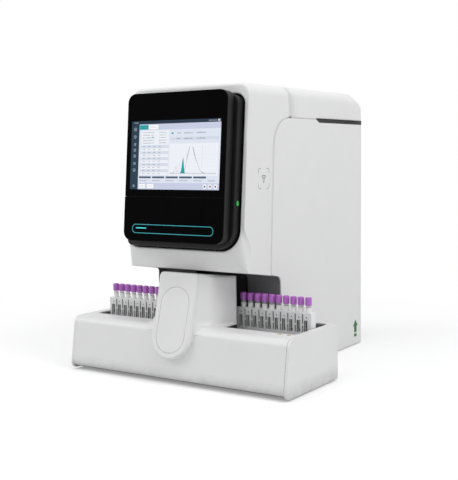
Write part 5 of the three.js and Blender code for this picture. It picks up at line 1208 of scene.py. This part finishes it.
class ANALYSER_OT_housing(bpy.types.Operator):
    """Finish the door, panels, recess and everything inside"""
    bl_idname = "analyser.housing"
    bl_label = "Housing and inside"

    def execute(self, context):
        shape, finish = context.scene.analyser_shape, context.scene.analyser_finish
        powder = dict(rough=0.5, depth=0.00008)
        liner = moulded("liner_moulding", finish.liner, rough=0.55, grain=900.0, cloud=0.12,
                        edge=0.001)
        for names, material in (
                # The door and side panel are darkened slightly at the foot: grime and painted
                # shade
                (("right_door", "left_panel"),
                 moulded("shell_panels", finish.shell, edge=shape.edge, foot_grime_and_shade=0.2)),
                # The rear panel's finish paints the finger slot's shade where the slot runs out
                (("rear_panel",), moulded("rear_coat", finish.rear, grain=700.0, edge=0.0008,
                                          marks=slot_shade, **powder)),
                (("recess_liner", "rack_deck"), liner),
                (("fan_rotor", "power_inlet", "power_switch"),
                 moulded("black_moulding", (0.02, 0.02, 0.021), cloud=0.15, edge=0.0006)),
                (("right_pusher", "left_pusher", "cross_feed_pawl", "probe_carriage"),
                 brushed("feed_steel_drawn", STEEL, 0)),
                (("probe",), brushed("probe_steel_drawn", STEEL, 2, rough=0.2)),
                (("base_chassis",), moulded("chassis_paint", (0.028, 0.029, 0.033), grain=600.0,
                                            cloud=0.15, edge=0.0006, **powder)),
                (("pump_unit", "power_supply"),
                 brushed("pump_aluminium", (0.58, 0.58, 0.59), 1, rough=0.35)),
                (("column_oven",), moulded("oven_coat", (0.62, 0.62, 0.60), grain=700.0,
                                           edge=0.001, **powder)),
                (("reagent_bottle_a", "reagent_bottle_b", "reagent_bottle_c"),
                 moulded("bottle_plastic", (0.62, 0.57, 0.44), rough=0.32, cloud=0.1,
                         edge=0.001)),
                (("foot_tray_left", "foot_tray_right", "foot_rear_left", "foot_rear_right"),
                 moulded("foot_rubber", (0.014, 0.014, 0.014), rough=0.85, grain=500.0,
                         depth=0.0001, cloud=0.2, edge=0.0006))):
            dress(names, material)
        lip = np.concatenate((((226.0, 204.0), (188.0, 204.0)),
                              arc_path((178.0, 236.0), 10.0, 0.0, 90.0, 10),
                              ((178.0, 247.2), (226.0, 239.5))))
        closed_object("recess_lip", plates([lip], left_edge, 2.5), liner, "dark_liner")
        return {"FINISHED"}


# ---------------------------------------------------------------- stage

def floor_paper():
    """Pale paper that takes the object's shadow. Where it is seen, it is lifted a little, and
    turns white with distance."""
    paint = Paint("floor_paper", Roughness=0.9)
    camera, seen = paint.seen()
    paper = paint.mix(paint.noise(3.0), grey(0.72), grey(0.76))
    paint.feed("Base Color", paint.mix(camera, paper, grey(0.80)))
    x, y, _ = paint.axes()
    away = paint.node("ShaderNodeMapRange", {"interpolation_type": "SMOOTHSTEP"},
                      {0: (x * x + y * y) ** 0.5, 1: 0.5, 2: 1.3, 3: 0.0, 4: 1.0})
    lift, white = (paint.node("ShaderNodeEmission", None, {"Color": grey(1.0),
                                                           "Strength": strength})
                   for strength in (0.24, 1.0))
    plain = Wire(paint, paint.shader.outputs[0])
    lifted = paint.node("ShaderNodeAddShader", None, {0: plain, 1: lift})
    paint.surface(paint.blend(seen, plain, paint.blend(away, lifted, white)))
    return paint.material


def studio_world(level):
    """Soft even light, and plain white where the background is seen."""
    world = bpy.data.worlds.new("studio")
    world.use_nodes = True
    sky = Nodes(world.node_tree)
    room, paper = (sky.node("ShaderNodeBackground", None, {"Color": colour, "Strength": strength})
                   for colour, strength in (((0.98, 0.985, 1.0, 1.0), 0.57 * level),
                                            (grey(1.0), 1.0)))
    output = sky.tree.nodes.new("ShaderNodeOutputWorld")
    sky.join(output.inputs["Surface"], sky.blend(sky.seen()[1], room, paper))
    return world


def photo_camera():
    """Camera at the photograph's place, turned by its yaw, pitch and roll."""
    yaw, pitch, roll = 0.587756, 0.0913598, -0.0118241
    ahead = np.array((-math.sin(yaw) * math.cos(pitch), math.cos(yaw) * math.cos(pitch),
                      -math.sin(pitch)))
    right = np.array((math.cos(yaw), math.sin(yaw), 0.0))
    up = np.cross(right, ahead)
    turned_right = math.cos(roll) * right + math.sin(roll) * up
    turned_up = -math.sin(roll) * right + math.cos(roll) * up
    lens = bpy.data.cameras.new("photo_camera")
    lens.sensor_fit = "AUTO"
    lens.sensor_width = 36.0
    lens.lens = 913.0335 / 480.0 * 36.0
    camera = bpy.data.objects.new("photo_camera", lens)
    pose = Matrix(np.column_stack((turned_right, turned_up, -ahead)).tolist()).to_4x4()
    pose.translation = (1.296442, -2.020559, 0.537571)
    camera.matrix_world = pose
    return camera


class ANALYSER_OT_stage(bpy.types.Operator):
    """Set the pale floor, studio light and the photograph's camera"""
    bl_idname = "analyser.stage"
    bl_label = "Stage"

    def execute(self, context):
        scene = context.scene
        scene.view_settings.view_transform = "Standard"
        level = scene.analyser_shape.lamp
        mesh = bpy.data.meshes.new("floor")
        mesh.from_pydata([(-12, -12, 0), (12, -12, 0), (12, 12, 0), (-12, 12, 0)], [],
                         [(0, 1, 2, 3)])
        mesh.materials.append(floor_paper())
        floor = bpy.data.objects.new("floor", mesh)
        scene.collection.objects.link(floor)
        scene.world = studio_world(level)
        for name, place, size, power in (("overhead", (0.2, -0.5, 2.6), 2.2, 13.0),
                                         ("front_left", (-2.2, -1.9, 2.3), 1.5, 27.0),
                                         ("right", (2.4, -0.3, 2.7), 1.4, 33.0)):
            lamp = bpy.data.lights.new(name, "AREA")
            lamp.shape = "SQUARE"
            lamp.size = size
            lamp.energy = power * level
            stand = bpy.data.objects.new(name, lamp)
            stand.location = place
            aim = Vector((0.0, 0.0, 0.3)) - Vector(place)
            stand.rotation_euler = aim.to_track_quat("-Z", "Y").to_euler()
            scene.collection.objects.link(stand)
        camera = photo_camera()
        scene.collection.objects.link(camera)
        scene.camera = camera
        return {"FINISHED"}


# ---------------------------------------------------------------- panel and run

class ANALYSER_PT_side(bpy.types.Panel):
    """Sizes, colours and steps of the analyser's dressing"""
    bl_label = "Analyser"
    bl_idname = "ANALYSER_PT_side"
    bl_space_type = "VIEW_3D"
    bl_region_type = "UI"
    bl_category = "Analyser"

    def draw(self, context):
        layout = self.layout
        for group in (context.scene.analyser_shape, context.scene.analyser_finish):
            for name in group.bl_rna.properties.keys():
                if name not in ("rna_type", "name"):
                    layout.prop(group, name)
        for step in STEPS:
            layout.operator(step.bl_idname)


STEPS = (ANALYSER_OT_stage, ANALYSER_OT_front, ANALYSER_OT_display, ANALYSER_OT_tray,
         ANALYSER_OT_racks, ANALYSER_OT_marks, ANALYSER_OT_roof, ANALYSER_OT_housing)
CLASSES = (AnalyserFinish, AnalyserShape, *STEPS, ANALYSER_PT_side)


def register():
    """Registers the classes and hangs both groups of settings on the scene."""
    for made in CLASSES:
        bpy.utils.register_class(made)
    bpy.types.Scene.analyser_finish = PointerProperty(type=AnalyserFinish)
    bpy.types.Scene.analyser_shape = PointerProperty(type=AnalyserShape)


def unregister():
    """Takes back what register did."""
    del bpy.types.Scene.analyser_shape
    del bpy.types.Scene.analyser_finish
    for made in reversed(CLASSES):
        bpy.utils.unregister_class(made)


def main():
    """Runs every step in order."""
    register()
    for step in STEPS:
        group, name = step.bl_idname.split(".")
        getattr(getattr(bpy.ops, group), name)()


if __name__ == "__main__":
    main()
